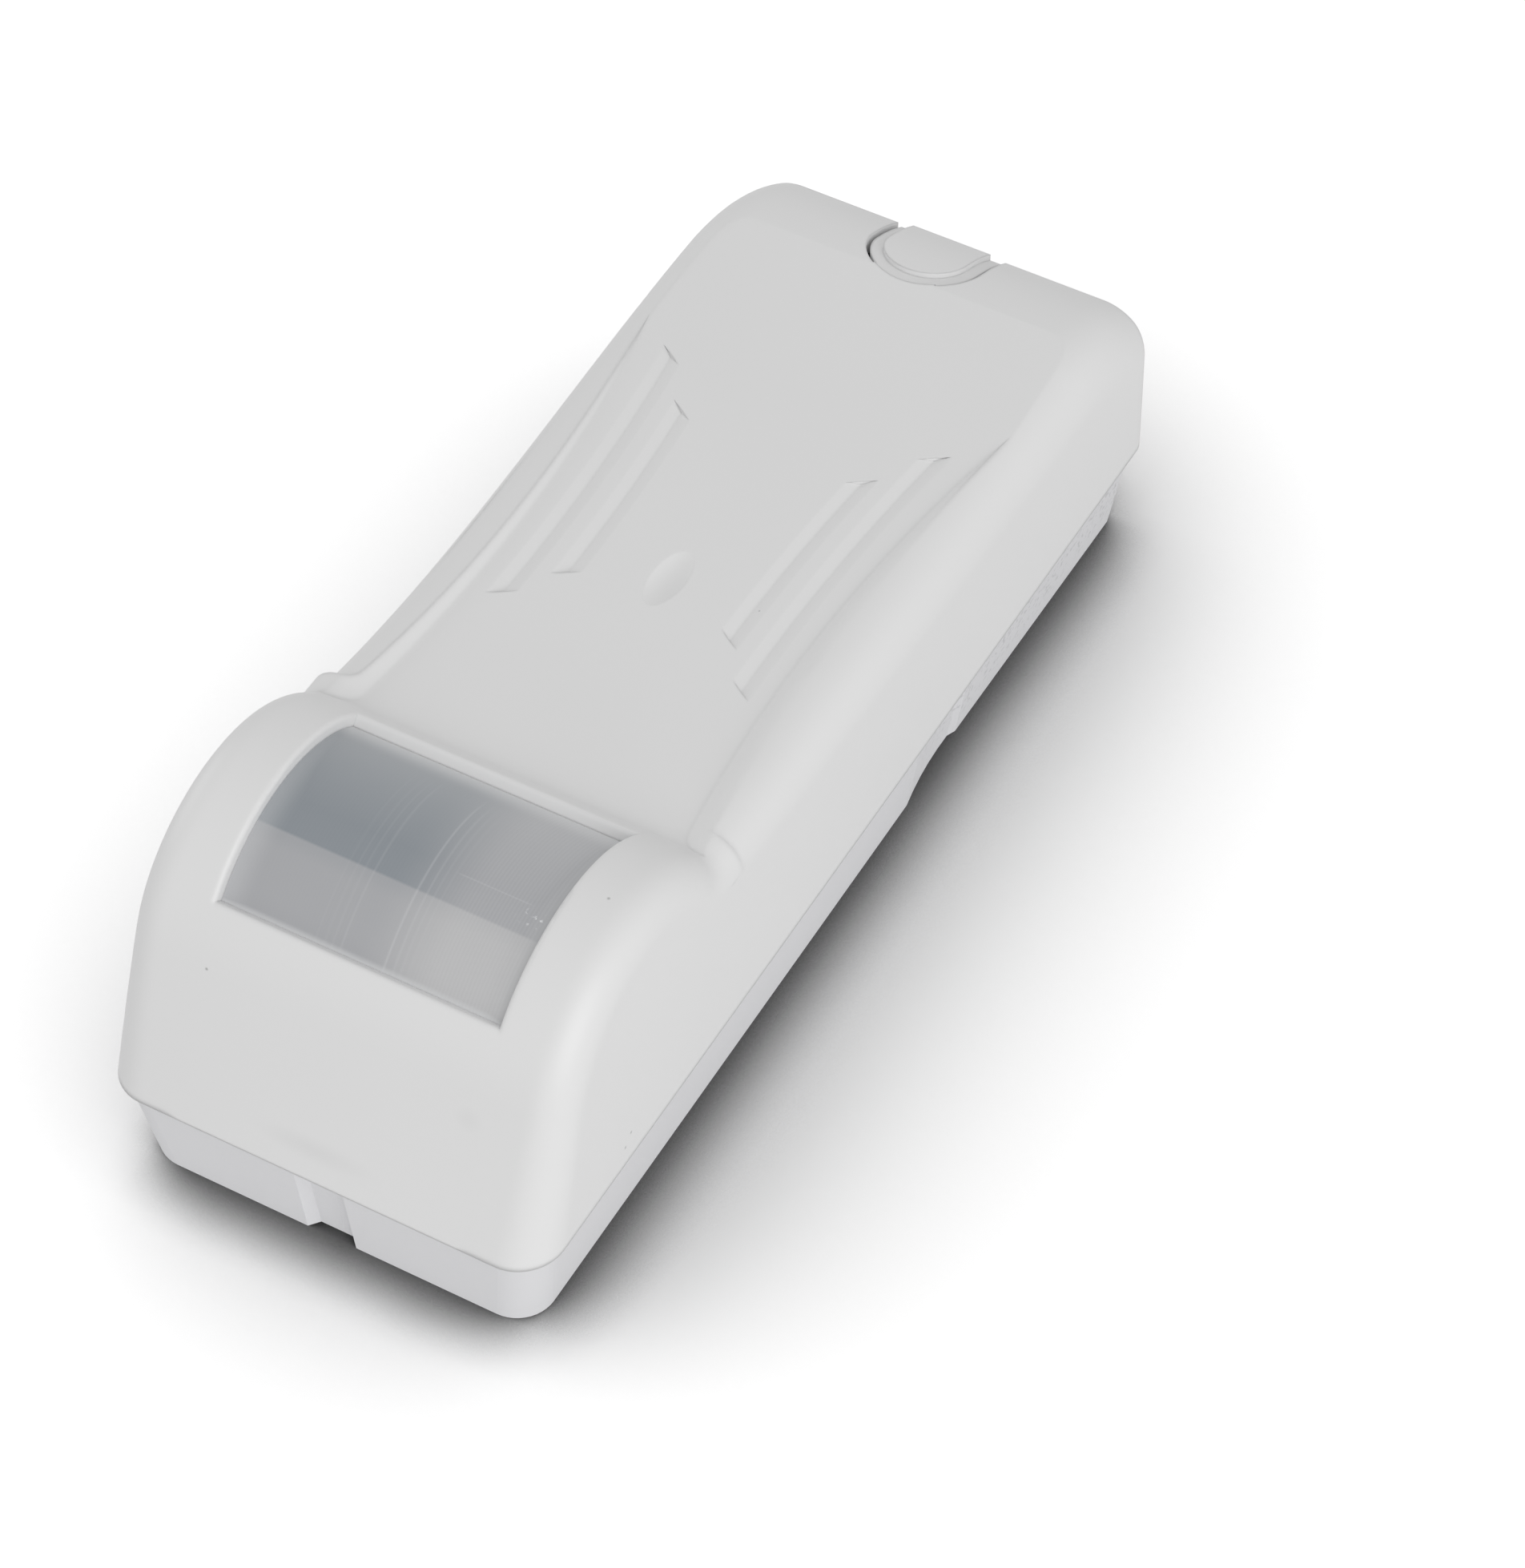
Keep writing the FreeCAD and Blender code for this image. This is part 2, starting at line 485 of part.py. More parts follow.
# Rear base: flared tray with a lip, slots, posts, screw holes and cable entry
def rounded_plan(hw, y0, y1, r, far_r, z):
    k, j = r * (1 - sqrt(0.5)), far_r * (1 - sqrt(0.5))
    p = lambda x, y: V(x, y, z)
    return Part.Wire([
        Part.makeLine(p(-hw + r, y0), p(hw - r, y0)), Part.Arc(p(hw - r, y0), p(hw - k, y0 + k), p(hw, y0 + r)).toShape(),
        Part.makeLine(p(hw, y0 + r), p(hw, y1 - far_r)),
        Part.Arc(p(hw, y1 - far_r), p(hw - j, y1 - j), p(hw - far_r, y1)).toShape(),
        Part.makeLine(p(hw - far_r, y1), p(-hw + far_r, y1)),
        Part.Arc(p(-hw + far_r, y1), p(-hw + j, y1 - j), p(-hw, y1 - far_r)).toShape(),
        Part.makeLine(p(-hw, y1 - far_r), p(-hw, y0 + r)),
        Part.Arc(p(-hw, y0 + r), p(-hw + k, y0 + k), p(-hw + r, y0)).toShape()])


base_r, base_far_r = size("base_corner"), size("base_far_corner")
base_wall, floor_z = size("base_wall"), size("base_floor")
least_corner = 0.5


def tray(z0, inset0, z1, inset1):
    """Loft between two rounded plans, each set in from the outer face of the base at its height."""
    plan = lambda z, inset: rounded_plan(
        base_edge(back_half, rim_half, z) - inset, base_edge(back_near, rim_near, z) + inset,
        base_edge(back_far, rim_far, z) - inset, max(base_r - inset, least_corner),
        max(base_far_r - inset, least_corner), z)
    return Part.makeLoft([plan(z0, inset0), plan(z1, inset1)], True, True)


bevel = size("rim_bevel")
base = tray(0, 0, seam - bevel, 0).fuse(tray(seam - bevel, 0, seam, bevel / 2))
base = base.cut(tray(floor_z, base_wall, seam + 2, base_wall))
lip_half = half_width - wall - size("lip_gap")
lip_top = seam + size("lip_rise")
lip_plan = lambda inset, z: Part.Face(rounded_plan(lip_half - inset, lip_near + inset, lip_far - inset,
                                                   base_r - inset, base_far_r - inset, z))
lip = lip_plan(0, seam - 0.8).extrude(V(0, 0, size("lip_rise") + 0.8))
lip = lip.cut(lip_plan(size("lip_wall"), seam - 2).extrude(V(0, 0, size("lip_rise") + 4)))
base = base.fuse(lip)

# Outside of the tray: cable notch in the lens end wall, shallow scallops along both sides
notch_x, mouth, notch_floor, notch_d = size("notch_x"), size("notch_half_mouth"), size("notch_half_floor"), size("notch_depth")


def notch_plan(z):
    y = base_edge(back_near, rim_near, z)
    return Part.makePolygon([V(notch_x - mouth, y, z), V(notch_x - notch_floor, y + notch_d, z),
                             V(notch_x + notch_floor, y + notch_d, z), V(notch_x + mouth, y, z),
                             V(notch_x + mouth, y - 1, z), V(notch_x - mouth, y - 1, z), V(notch_x - mouth, y, z)])


base = base.cut(Part.makeLoft([notch_plan(0), notch_plan(seam)], True, True))


def scallop_plan(z):
    x = base_edge(back_half, rim_half, z)
    d, land = size("scallop_depth"), size("scallop_depth") - size("scallop_land")
    y0, y3 = half_length - size("scallop_length"), back_far + 4
    y1 = y0 + size("scallop_curve")
    y2 = y1 + size("scallop_ramp")
    q = (y1 - y0) / 4
    p = lambda a, b: V(a, b, z)
    arc = Part.Arc(p(x, y0), p(x - d * 0.72, y0 + 1.6 * q), p(x - d, y1)).toShape()
    line = Part.makePolygon([p(x - d, y1), p(x - land, y2), p(x - 0.1, y3), p(x + 3, y3), p(x + 3, y0), p(x, y0)])
    return Part.Wire([arc] + line.Edges)


scallop = Part.makeLoft([scallop_plan(0), scallop_plan(seam)], True, True)
base = base.cut([scallop, mirrored(scallop)])

slot_gap = size("slot_gap")
slot_low, slot_top = catch_low + 0.2 - slot_gap, catch_low + 0.2 + size("catch_hook") + 2 * slot_gap
slot_out = size("catch_gap") + size("slot_depth")
slots = [block(-catch_half - slot_gap, catch_half + slot_gap, far_leg - 0.2, far_leg + slot_out, slot_low, slot_top)]
for x in (-hinge_x, hinge_x):
    slots.append(block(x - hinge_half - slot_gap, x + hinge_half + slot_gap, near_leg - slot_out, near_leg + 0.2,
                       slot_low, slot_top))
base = base.cut(slots)

post_x = size("post_x")
post_near, post_far = board_near + size("post_near_inset"), board_far - size("post_far_inset")
post_r, peg_r = size("post_diameter") / 2, size("peg_diameter") / 2
screw_at = [(post_x, post_near), (-post_x, post_far)]
peg_at = [(-post_x, post_near), (post_x, post_far)]
posts = [rod(post_r, x, y, floor_z - 0.5, size("board_bottom")) for x, y in screw_at + peg_at]
posts += [rod(peg_r, x, y, size("board_bottom") - 1, board_top + 0.7) for x, y in peg_at]
base = base.fuse(posts)
screw_r = size("screw_diameter") / 2
screw_deep = board_top - size("screw_length")
base = base.cut([rod(screw_r, x, y, screw_deep, board_top) for x, y in screw_at])
mount_ys = [size("mount_middle") - size("mount_spacing") / 2, size("mount_middle") + size("mount_spacing") / 2]
hole_r, sink_r = size("mount_hole") / 2, size("mount_sink") / 2
boss_top = floor_z + size("mount_boss_rise")
base = base.fuse([rod(size("mount_boss") / 2, 0, y, floor_z - 0.5, boss_top) for y in mount_ys])
for y in mount_ys:
    base = base.cut([rod(hole_r, 0, y, -1, boss_top),
                     Part.makeCone(hole_r, sink_r, sink_r - hole_r, V(0, y, boss_top - sink_r + hole_r))])
base = base.cut(rod(size("cable_hole") / 2, 0, half_length - size("cable_inset"), -1, floor_z + 1))
base = base.removeSplitter()
feature("rear_base", base)

# Circuit board with its holes
board_low = size("board_bottom")
board = block(-size("board_half_width"), size("board_half_width"), board_near, board_far, board_low, board_top)
board = board.makeFillet(1.5, [e for e in board.Edges if abs(e.Length - size("board_thickness")) < 0.01])
holes = [rod(size("board_hole") / 2, x, y, board_low - 1, board_top + 1) for x, y in screw_at + peg_at]
holes += [rod(size("driver_hole") / 2, 0, y, board_low - 1, board_top + 1) for y in mount_ys]
sensor_y = head_y
pin_c = size("sensor_pin_circle")
pins_at = [(pin_c, sensor_y), (-pin_c * 0.5, sensor_y + pin_c * 0.87), (-pin_c * 0.5, sensor_y - pin_c * 0.87)]
holes += [rod(size("sensor_pin") / 2 + 0.2, x, y, board_low - 1, board_top + 1) for x, y in pins_at]
feature("circuit_board", board.cut(holes))


def bound(kind, label, sizes, place):
    """Part primitive whose sizes and place are expressions on the sheet."""
    obj = doc.addObject(kind, label)
    obj.Label = label
    for prop, text in sizes.items():
        obj.setExpression(prop, text)
    for axis, text in zip("xyz", place):
        obj.setExpression("Placement.Base." + axis, text)
    return obj


# Screws that hold the board, one node
screws = []
for x, y in screw_at:
    shank = rod(screw_r, x, y, screw_deep, board_top + 0.2)
    head = rod(size("screw_head") / 2, x, y, board_top, board_top + size("screw_head_height"))
    head = head.makeFillet(0.5, [head.Edges[0]])
    cross = [block(x - 1.2, x + 1.2, y - 0.3, y + 0.3, board_top + 0.7, board_top + 3),
             block(x - 0.3, x + 0.3, y - 1.2, y + 1.2, board_top + 0.7, board_top + 3)]
    screws.append(shank.fuse(head).cut(cross))
feature("board_screws", Part.makeCompound(screws))

# Pyroelectric sensor: spacer, base with pins, can, filter window and collar
spacer_top = board_top + size("spacer_height")
spacer = rod(size("sensor_flange") / 2, 0, sensor_y, board_top, spacer_top)
spacer = spacer.cut([rod(size("sensor_pin") / 2 + 0.15, x, y, board_top - 1, spacer_top + 1) for x, y in pins_at])
feature("sensor_spacer", spacer)
flange_top = spacer_top + size("sensor_flange_height")
header = rod(size("sensor_flange") / 2, 0, sensor_y, spacer_top, flange_top)
pins = [rod(size("sensor_pin") / 2, x, y, board_low - 1.2, spacer_top + 0.1) for x, y in pins_at]
feature("sensor_header", header.fuse(pins))
can_r, skin, can_top = size("sensor_diameter") / 2, size("sensor_skin"), flange_top + size("sensor_height")
can = rod(can_r, 0, sensor_y, flange_top, can_top)
can = can.makeFillet(0.4, [e for e in can.Edges if abs(middle_of(e).z - can_top) < 0.01 and len(e.Vertexes) == 1])
can = can.cut(rod(can_r - skin, 0, sensor_y, flange_top - 1, can_top - skin))
fl, fw, inset_f = size("filter_length") / 2, size("filter_width") / 2, size("sensor_opening")
can = can.cut(block(-fl + inset_f, fl - inset_f, sensor_y - fw + inset_f, sensor_y + fw - inset_f, flange_top, can_top + 1))
feature("sensor_can", can)
bound("Part::Box", "sensor_window",
      {"Length": "Sizes.filter_length", "Width": "Sizes.filter_width", "Height": "Sizes.filter_thickness"},
      ("-Sizes.filter_length / 2", "0", "Sizes.board_bottom + Sizes.board_thickness + Sizes.spacer_height"
       " + Sizes.sensor_flange_height + Sizes.sensor_height - Sizes.sensor_skin - Sizes.filter_thickness"))
window_obj = doc.getObject("sensor_window")
head_text = ("-Sizes.cover_length / 2 + Sizes.head_radius / cos(Sizes.front_lean * 1deg)"
             " + (Sizes.crown_height - Sizes.head_radius - Sizes.seam_height) * tan(Sizes.front_lean * 1deg)")
window_obj.setExpression("Placement.Base.y", head_text + " - Sizes.filter_width / 2")
collar_in, collar_wall = size("sensor_flange") / 2, size("collar_wall")
collar_top = board_top + size("collar_height")
top_r = size("collar_top_radius")
collar_face = Part.Face(Part.makePolygon([
    V(collar_in, 0, board_top), V(collar_in + collar_wall, 0, board_top),
    V(collar_in + collar_wall, 0, flange_top + 0.6), V(top_r, 0, collar_top), V(top_r - collar_wall, 0, collar_top),
    V(collar_in, 0, flange_top + 1.2), V(collar_in, 0, board_top)]))
collar = collar_face.revolve(V(0, 0, 0), V(0, 0, 1), 360)
collar.translate(V(0, sensor_y, 0))
feature("insect_collar", collar)

# Walk-test lamp and its light pipe
bound("Part::Box", "status_led", {"Length": "Sizes.led_length", "Width": "Sizes.led_width", "Height": "Sizes.led_height"},
      ("-Sizes.led_length / 2", "Sizes.led_y - Sizes.led_width / 2", "Sizes.board_bottom + Sizes.board_thickness"))
pipe_low = "Sizes.board_bottom + Sizes.board_thickness + Sizes.led_height + Sizes.pipe_gap"
pipe_high = ("(Sizes.crown_height - Sizes.ridge_drop - Sizes.panel_drop - Sizes.cover_wall"
             " + Sizes.panel_rise * Sizes.led_y - 0.1)")
bound("Part::Cylinder", "light_pipe",
      {"Radius": "Sizes.pipe_diameter / 2", "Height": pipe_high + " - (" + pipe_low + ")"}, ("0", "Sizes.led_y", pipe_low))

# Screw terminals: housing, clamps and screws
b_half = size("block_half_width")
b_height = room - size("block_clear")
b_top = board_top + b_height
ways, pitch, opening_w = int(size("block_ways")), size("block_pitch"), size("wire_opening")
way_xs = [pitch * (i - (ways - 1) / 2) for i in range(ways)]
housing = block(-b_half, b_half, b_near, b_far, board_top, b_top)
chamfer_edges = [e for e in housing.Edges if abs(middle_of(e).y - b_near) < 0.01 and abs(middle_of(e).z - b_top) < 0.01]
housing = housing.makeChamfer(b_height * 0.14, chamfer_edges)
cage_half, cage_wall = size("clamp_depth") / 2, size("clamp_side")
screw_y, screw_hole = b_far - size("clamp_depth"), size("terminal_screw") / 2 + 0.2
clamp_low = board_top + size("wire_floor_share") * b_height
clamp_rise = size("wire_height_share") * b_height
clamp_top = clamp_low + clamp_rise
thread_r = size("terminal_screw") / 2 - 0.3
bores, clamps, heads = [], [], []
for x in way_xs:
    bores += [block(x - opening_w / 2, x + opening_w / 2, screw_y - cage_half - 0.4, b_far + 1, clamp_low, clamp_top),
              rod(screw_hole, x, screw_y, clamp_low, b_top + 1)]
    cage = block(x - opening_w / 2, x + opening_w / 2, screw_y - cage_half, screw_y + cage_half, clamp_low, clamp_top)
    mouth_box = block(x - opening_w / 2 + cage_wall, x + opening_w / 2 - cage_wall, screw_y - cage_half - 1,
                      screw_y + cage_half + 1, clamp_low + 0.15 * clamp_rise, clamp_top - 0.26 * clamp_rise)
    thread = rod(thread_r, x, screw_y, clamp_top - 0.4 * clamp_rise, clamp_top + 0.2 * clamp_rise)
    clamps.append(cage.cut([mouth_box, rod(thread_r, x, screw_y, clamp_top - 0.45 * clamp_rise, clamp_top + 1)]))
    head_top = b_top - size("screw_sink")
    head_low = head_top - size("screw_slot_depth")
    head = rod(size("terminal_screw") / 2, x, screw_y, clamp_top, head_top)
    head = head.cut(block(x - screw_hole, x + screw_hole, screw_y - size("screw_slot") / 2,
                          screw_y + size("screw_slot") / 2, head_low, b_top))
    heads.append(head.fuse(thread))
feature("terminal_block", housing.cut(bores))
feature("terminal_clamps", Part.makeCompound(clamps))
feature("terminal_screws", Part.makeCompound(heads))

# Case switch, held down by the rib of the closed cover
t_half, t_top = size("tamper_size") / 2, board_top + size("tamper_height")
plunger_r = size("plunger_diameter") / 2
tamper = block(rib_x - t_half, rib_x + t_half, rib_y - t_half, rib_y + t_half, board_top, t_top)
tamper = tamper.cut(rod(plunger_r, rib_x, rib_y, t_top - size("plunger_deep"), t_top + 1))
feature("tamper_switch_body", tamper)
plunger = rod(plunger_r, rib_x, rib_y, t_top - size("plunger_deep"), plunger_top)
feature("tamper_plunger", plunger)

# Alarm relay and the tall parts beside it
relay = block(0, size("relay_width"), 0, size("relay_length"), 0, room - size("relay_clear"))
relay = relay.makeFillet(0.5, [e for e in relay.Edges if middle_of(e).z > 0.01])
relay.translate(V(size("relay_x") - size("relay_width") / 2, relay_y - size("relay_length") / 2, board_top))
feature("alarm_relay", relay)
cap_r, cap_h = size("can_cap_diameter") / 2, room - size("can_cap_clear")
caps = []
for y in (first_cap_y, second_cap_y):
    cap = rod(cap_r, size("can_cap_x"), y, board_top, board_top + cap_h)
    rim = [e for e in cap.Edges if len(e.Vertexes) == 1]
    caps.append(cap.makeFillet(0.5, rim))
feature("electrolytic_capacitors", Part.makeCompound(caps))


def chip(x, y, length, leads):
    """Small outline package lying along Y with gull leads on both sides."""
    w, h, lift = size("chip_width") / 2, size("chip_height"), size("chip_lift")
    body = block(x - w, x + w, y - length / 2, y + length / 2, board_top + lift, board_top + lift + h)
    mark = rod(0.35, x - w + 0.8, y - length / 2 + 0.9, board_top + lift + h - 0.12, board_top + 5)
    t, lw, r = size("lead_thickness"), size("lead_width") / 2, size("lead_reach")
    parts = []
    for i in range(leads):
        ly = y + (i - (leads - 1) / 2) * size("lead_pitch")
        for s in (-1, 1):
            xs = lambda a, b: sorted((x + s * a, x + s * b))
            mid = board_top + lift + h / 2
            parts += [block(*xs(w - 0.2, w + r * 0.5), ly - lw, ly + lw, mid - t / 2, mid + t / 2),
                      block(*xs(w + r * 0.5 - t, w + r * 0.5), ly - lw, ly + lw, board_top, mid + t / 2),
                      block(*xs(w + r * 0.5 - t, w + r), ly - lw, ly + lw, board_top, board_top + t)]
    return body.fuse(parts).cut(mark)


feature("microcontroller", chip(size("chip_x"), chip_y, size("chip_length"), 7))
feature("amplifier_chip", chip(size("amplifier_x"), amplifier_y, size("chip_length") / 2, 4))

# Voltage regulator with three narrow tabs on one side and a wide one on the other
reg_x, reg_w = size("regulator_x"), size("regulator_length") / 2
tab, tab_t = size("tab_length"), size("tab_thickness")
reg_low = regulator_y - size("regulator_width") / 2
reg_high = reg_low + size("regulator_width")
regulator = block(reg_x - reg_w, reg_x + reg_w, reg_low, reg_high, board_top + tab_t / 4,
                  board_top + size("regulator_height"))
tabs = []
for i in (-1, 0, 1):
    tab_x = reg_x + i * size("tab_pitch")
    tabs.append(block(tab_x - size("tab_width") / 2, tab_x + size("tab_width") / 2, reg_low - tab / 2, reg_low + tab / 2,
                      board_top, board_top + tab_t))
tabs.append(block(reg_x - size("wide_tab") / 2, reg_x + size("wide_tab") / 2, reg_high - tab / 2, reg_high + tab / 2,
                  board_top, board_top + tab_t))
feature("voltage_regulator", regulator.fuse(tabs))

cr_r, cr_len = size("crystal_width") / 2, size("crystal_length")
cx, cy = size("crystal_x"), crystal_y
crystal_mid = cr_len / 2 - cr_r
crystal = block(cx - cr_r, cx + cr_r, cy - crystal_mid, cy + crystal_mid, board_top, board_top + size("crystal_height"))
crystal = crystal.fuse([rod(cr_r, cx, cy + s * crystal_mid, board_top, board_top + size("crystal_height")) for s in (-1, 1)])
crystal = crystal.removeSplitter()
feature("crystal", crystal.makeFillet(0.5, [e for e in crystal.Edges
                                            if abs(middle_of(e).z - board_top - size("crystal_height")) < 0.01]))

sd, st = (room - size("surge_lift") - size("surge_clear")) / 2, size("surge_thickness")
surge_z = board_top + size("surge_lift") + sd
surge = Part.makeCylinder(sd, st, V(size("surge_x"), surge_y - st / 2, surge_z), V(0, 1, 0))
surge = surge.makeFillet(size("surge_edge_share") * min(sd, st), [e for e in surge.Edges if len(e.Vertexes) == 1])
lead_at = sd * size("surge_lead_share")
legs = [rod(size("surge_lead") / 2, size("surge_x") + s * lead_at, surge_y, board_top, surge_z - sd / 4) for s in (-1, 1)]
feature("surge_suppressor", surge.fuse(legs))

# Mode jumpers: housing, pins and two caps, in a three by two field
hx, hy, hp = size("header_x"), header_y, size("header_pitch")
spots = [(hx + (i - 0.5) * hp, hy + (j - 1) * hp) for i in range(2) for j in range(3)]
pin_h = size("header_pin") / 2
head_low, head_high = board_top, board_top + size("header_base")
body = block(hx - hp, hx + hp, hy - 1.5 * hp, hy + 1.5 * hp, head_low, head_high)
body = body.cut([block(x - pin_h, x + pin_h, y - pin_h, y + pin_h, head_low - 1, head_high + 1) for x, y in spots])
feature("jumper_header", body)
pin_top = board_top + room - size("header_pin_clear")
cap_top = board_top + room - size("cap_clear")
cap_gap = size("cap_gap") / 2
feature("jumper_pins", Part.makeCompound(
    [block(x - pin_h, x + pin_h, y - pin_h, y + pin_h, head_low, pin_top) for x, y in spots]))
jumpers = []
for j in (0, 2):
    y = hy + (j - 1) * hp
    cap = block(hx - hp + cap_gap, hx + hp - cap_gap, y - hp / 2 + cap_gap, y + hp / 2 - cap_gap, head_high, cap_top)
    cap = cap.makeFillet(0.06 * (cap_top - head_high), [e for e in cap.Edges if middle_of(e).z > head_high + 0.01])
    cap = cap.cut([block(x - pin_h, x + pin_h, y - pin_h, y + pin_h, head_high - 1, pin_top + 0.2) for x in
                   (hx - hp / 2, hx + hp / 2)])
    jumpers.append(cap)
feature("jumper_caps", Part.makeCompound(jumpers))

# Chip resistors and capacitors
pl, pw = size("passive_length") / 2, size("passive_width") / 2


def passives(grid, height):
    out = []
    for x, y, along in grid:
        a, b = (pl, pw) if along else (pw, pl)
        out.append(block(x - a, x + a, y - b, y + b, board_top, board_top + height))
    return Part.makeCompound(out)


step, row_x = size("passive_pitch"), size("passive_x")
mid_x, edge_x = size("passive_mid_x"), size("passive_edge_x")
near_y = head_y + size("passive_length") / 4
row_y = chip_y + size("chip_length") / 2 + left_gap / 2
resistors = [(row_x + step * i, amplifier_y, False) for i in range(3)]
resistors += [(row_x + step * i, row_y, False) for i in range(4)]
resistors += [(mid_x, chip_y + step * i, True) for i in range(3)] + [(edge_x + step / 2, regulator_y, False)]
resistors.append((mid_x + step * 0.7, surge_y - step, True))
capacitors = [(side * edge_x, near_y + step * 1.4 * i, True) for side in (-1, 1) for i in range(2)]
capacitors += [(mid_x, led_y + step * (2 + 1.4 * i), True) for i in range(2)] + [(-mid_x, chip_y - step, False)]
feature("chip_resistors", passives(resistors, size("passive_height")))
feature("chip_capacitors", passives(capacitors, size("passive_cap_height")))

doc.recompute()
NODES = ["front_cover", "rear_base", "fresnel_lens", "lens_frame", "circuit_board", "sensor_spacer", "sensor_header",
         "sensor_can", "sensor_window", "insect_collar", "status_led", "light_pipe", "terminal_block",
         "terminal_clamps", "terminal_screws", "tamper_switch_body", "tamper_plunger", "alarm_relay",
         "electrolytic_capacitors", "microcontroller", "amplifier_chip", "voltage_regulator", "crystal",
         "surge_suppressor", "jumper_header", "jumper_pins", "jumper_caps", "board_screws", "chip_resistors",
         "chip_capacitors"]
for obj in doc.Objects:
    if "Invalid" in obj.State or "Error" in obj.State:
        raise RuntimeError("bad state: " + obj.Label)
os.makedirs("parts", exist_ok=True)
for label in NODES:
    shape = doc.getObjectsByLabel(label)[0].Shape
    if shape.isNull() or not shape.isValid():
        raise RuntimeError("bad shape: " + label)
    shape.exportStep("parts/" + label + ".step")
    box = shape.BoundBox
    print(label, len(shape.Solids), round(shape.Volume, 1), [round(v, 2) for v in (
        box.XMin, box.XMax, box.YMin, box.YMax, box.ZMin, box.ZMax)])
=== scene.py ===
# %% [markdown]
# A small wired curtain motion detector, lying on its back on a pale table.
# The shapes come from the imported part. This file gives them their plastics, metals
# and glass, sets up a soft studio, and puts a camera where the photographer stood.

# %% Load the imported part
import json
import math

import bmesh
import bpy
from mathutils import Matrix, Vector

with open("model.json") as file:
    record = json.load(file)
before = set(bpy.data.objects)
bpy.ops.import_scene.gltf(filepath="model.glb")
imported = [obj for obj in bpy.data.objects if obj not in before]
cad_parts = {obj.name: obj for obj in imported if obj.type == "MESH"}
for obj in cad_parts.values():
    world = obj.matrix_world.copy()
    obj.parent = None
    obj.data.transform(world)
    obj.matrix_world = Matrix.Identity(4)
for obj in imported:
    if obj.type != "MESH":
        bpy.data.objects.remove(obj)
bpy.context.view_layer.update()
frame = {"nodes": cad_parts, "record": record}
nodes = frame["nodes"]
MM = 0.001
print("nodes in the part:", len(nodes))

# %% [markdown]
# A camera can be placed by eye, but here its angle was worked out from the corners of the
# housing. Azimuth turns it round the part, elevation lifts it, and roll tips the picture.
# A long lens from a little under half a metre keeps the far end nearly as wide as the near one.

# %% Camera: where it stands
# Lengths are in mm. The last two shift the camera sideways and up, which puts the part in the
# same place of the picture as in the photograph
AZIMUTH = math.radians(28.236)
ELEVATION = math.radians(48.676)
ROLL = math.radians(0.915)
DISTANCE = 424.24
AIM_RIGHT = 9.005
AIM_UP = 2.669

back = Vector((math.sin(AZIMUTH) * math.cos(ELEVATION), -math.cos(AZIMUTH) * math.cos(ELEVATION),
               math.sin(ELEVATION)))
level = Vector((math.cos(AZIMUTH), math.sin(AZIMUTH), 0.0))
upward = back.cross(level)
right = level * math.cos(ROLL) + upward * math.sin(ROLL)
up = upward * math.cos(ROLL) - level * math.sin(ROLL)
stand = (right * AIM_RIGHT + up * AIM_UP + back * DISTANCE) * MM
print("camera stands at, in m:", [round(value, 3) for value in stand])

# %% Camera: its lens
FOCAL_PIXELS = 6390.74
LONG_SIDE_PIXELS = 1958
SENSOR = 36.0
NEAREST = 0.01
FARTHEST = 20

camera_data = bpy.data.cameras.new("camera")
camera_data.sensor_width = SENSOR
camera_data.lens = FOCAL_PIXELS / LONG_SIDE_PIXELS * SENSOR
camera_data.clip_start = NEAREST
camera_data.clip_end = FARTHEST
camera = bpy.data.objects.new("camera", camera_data)
camera.matrix_world = Matrix.Translation(stand) @ Matrix((right, up, back)).transposed().to_4x4()
bpy.context.scene.collection.objects.link(camera)
bpy.context.scene.camera = camera
print("lens in mm:", round(camera_data.lens, 1))

# %% [markdown]
# Materials are small networks of nodes. One function turns a written sRGB colour into the
# linear values that the renderer uses, and one adds any node with its settings and links,
# so that each material below reads as a short list. Patterns read Object coordinates, which
# are the part's own metres, so a pattern's scale comes straight from a real size.

# %% Colours, nodes and new materials
# The sRGB curve is a straight foot with a power above it
def linear(hex_colour):
    parts = [int(hex_colour[i:i + 2], 16) / 255 for i in (1, 3, 5)]
    values = [c / 12.92 if c <= 0.04045 else ((c + 0.055) / 1.055) ** 2.4 for c in parts]
    return (*values, 1.0)


# An input may be a plain value, an output, or a node, whose first live output is then used
def add(tree, kind, inputs, **settings):
    made = tree.nodes.new(kind)
    for name, value in settings.items():
        setattr(made, name, value)
    for name, value in inputs.items():
        if isinstance(value, bpy.types.Node):
            value = next(socket for socket in value.outputs if socket.enabled)
        if isinstance(value, bpy.types.NodeSocket):
            tree.links.new(value, made.inputs[name])
        else:
            made.inputs[name].default_value = value
    return made


def new_material(name):
    material = bpy.data.materials.new(name)
    material.use_nodes = True
    tree = material.node_tree
    shader = tree.nodes["Principled BSDF"]
    place = add(tree, "ShaderNodeTexCoord", {}).outputs["Object"]
    return material, tree, shader, place


def per_mm(size_mm):
    return 1.0 / (size_mm * MM)


# Where the two sides and the result stand among the sockets of a Mix node
COLOUR_A = 6
COLOUR_B = 7
COLOUR_OUT = 2
NUMBER_A = 2
NUMBER_B = 3
finishes = {}
print("mid grey #808080 in linear light:", round(linear("#808080")[0], 3))

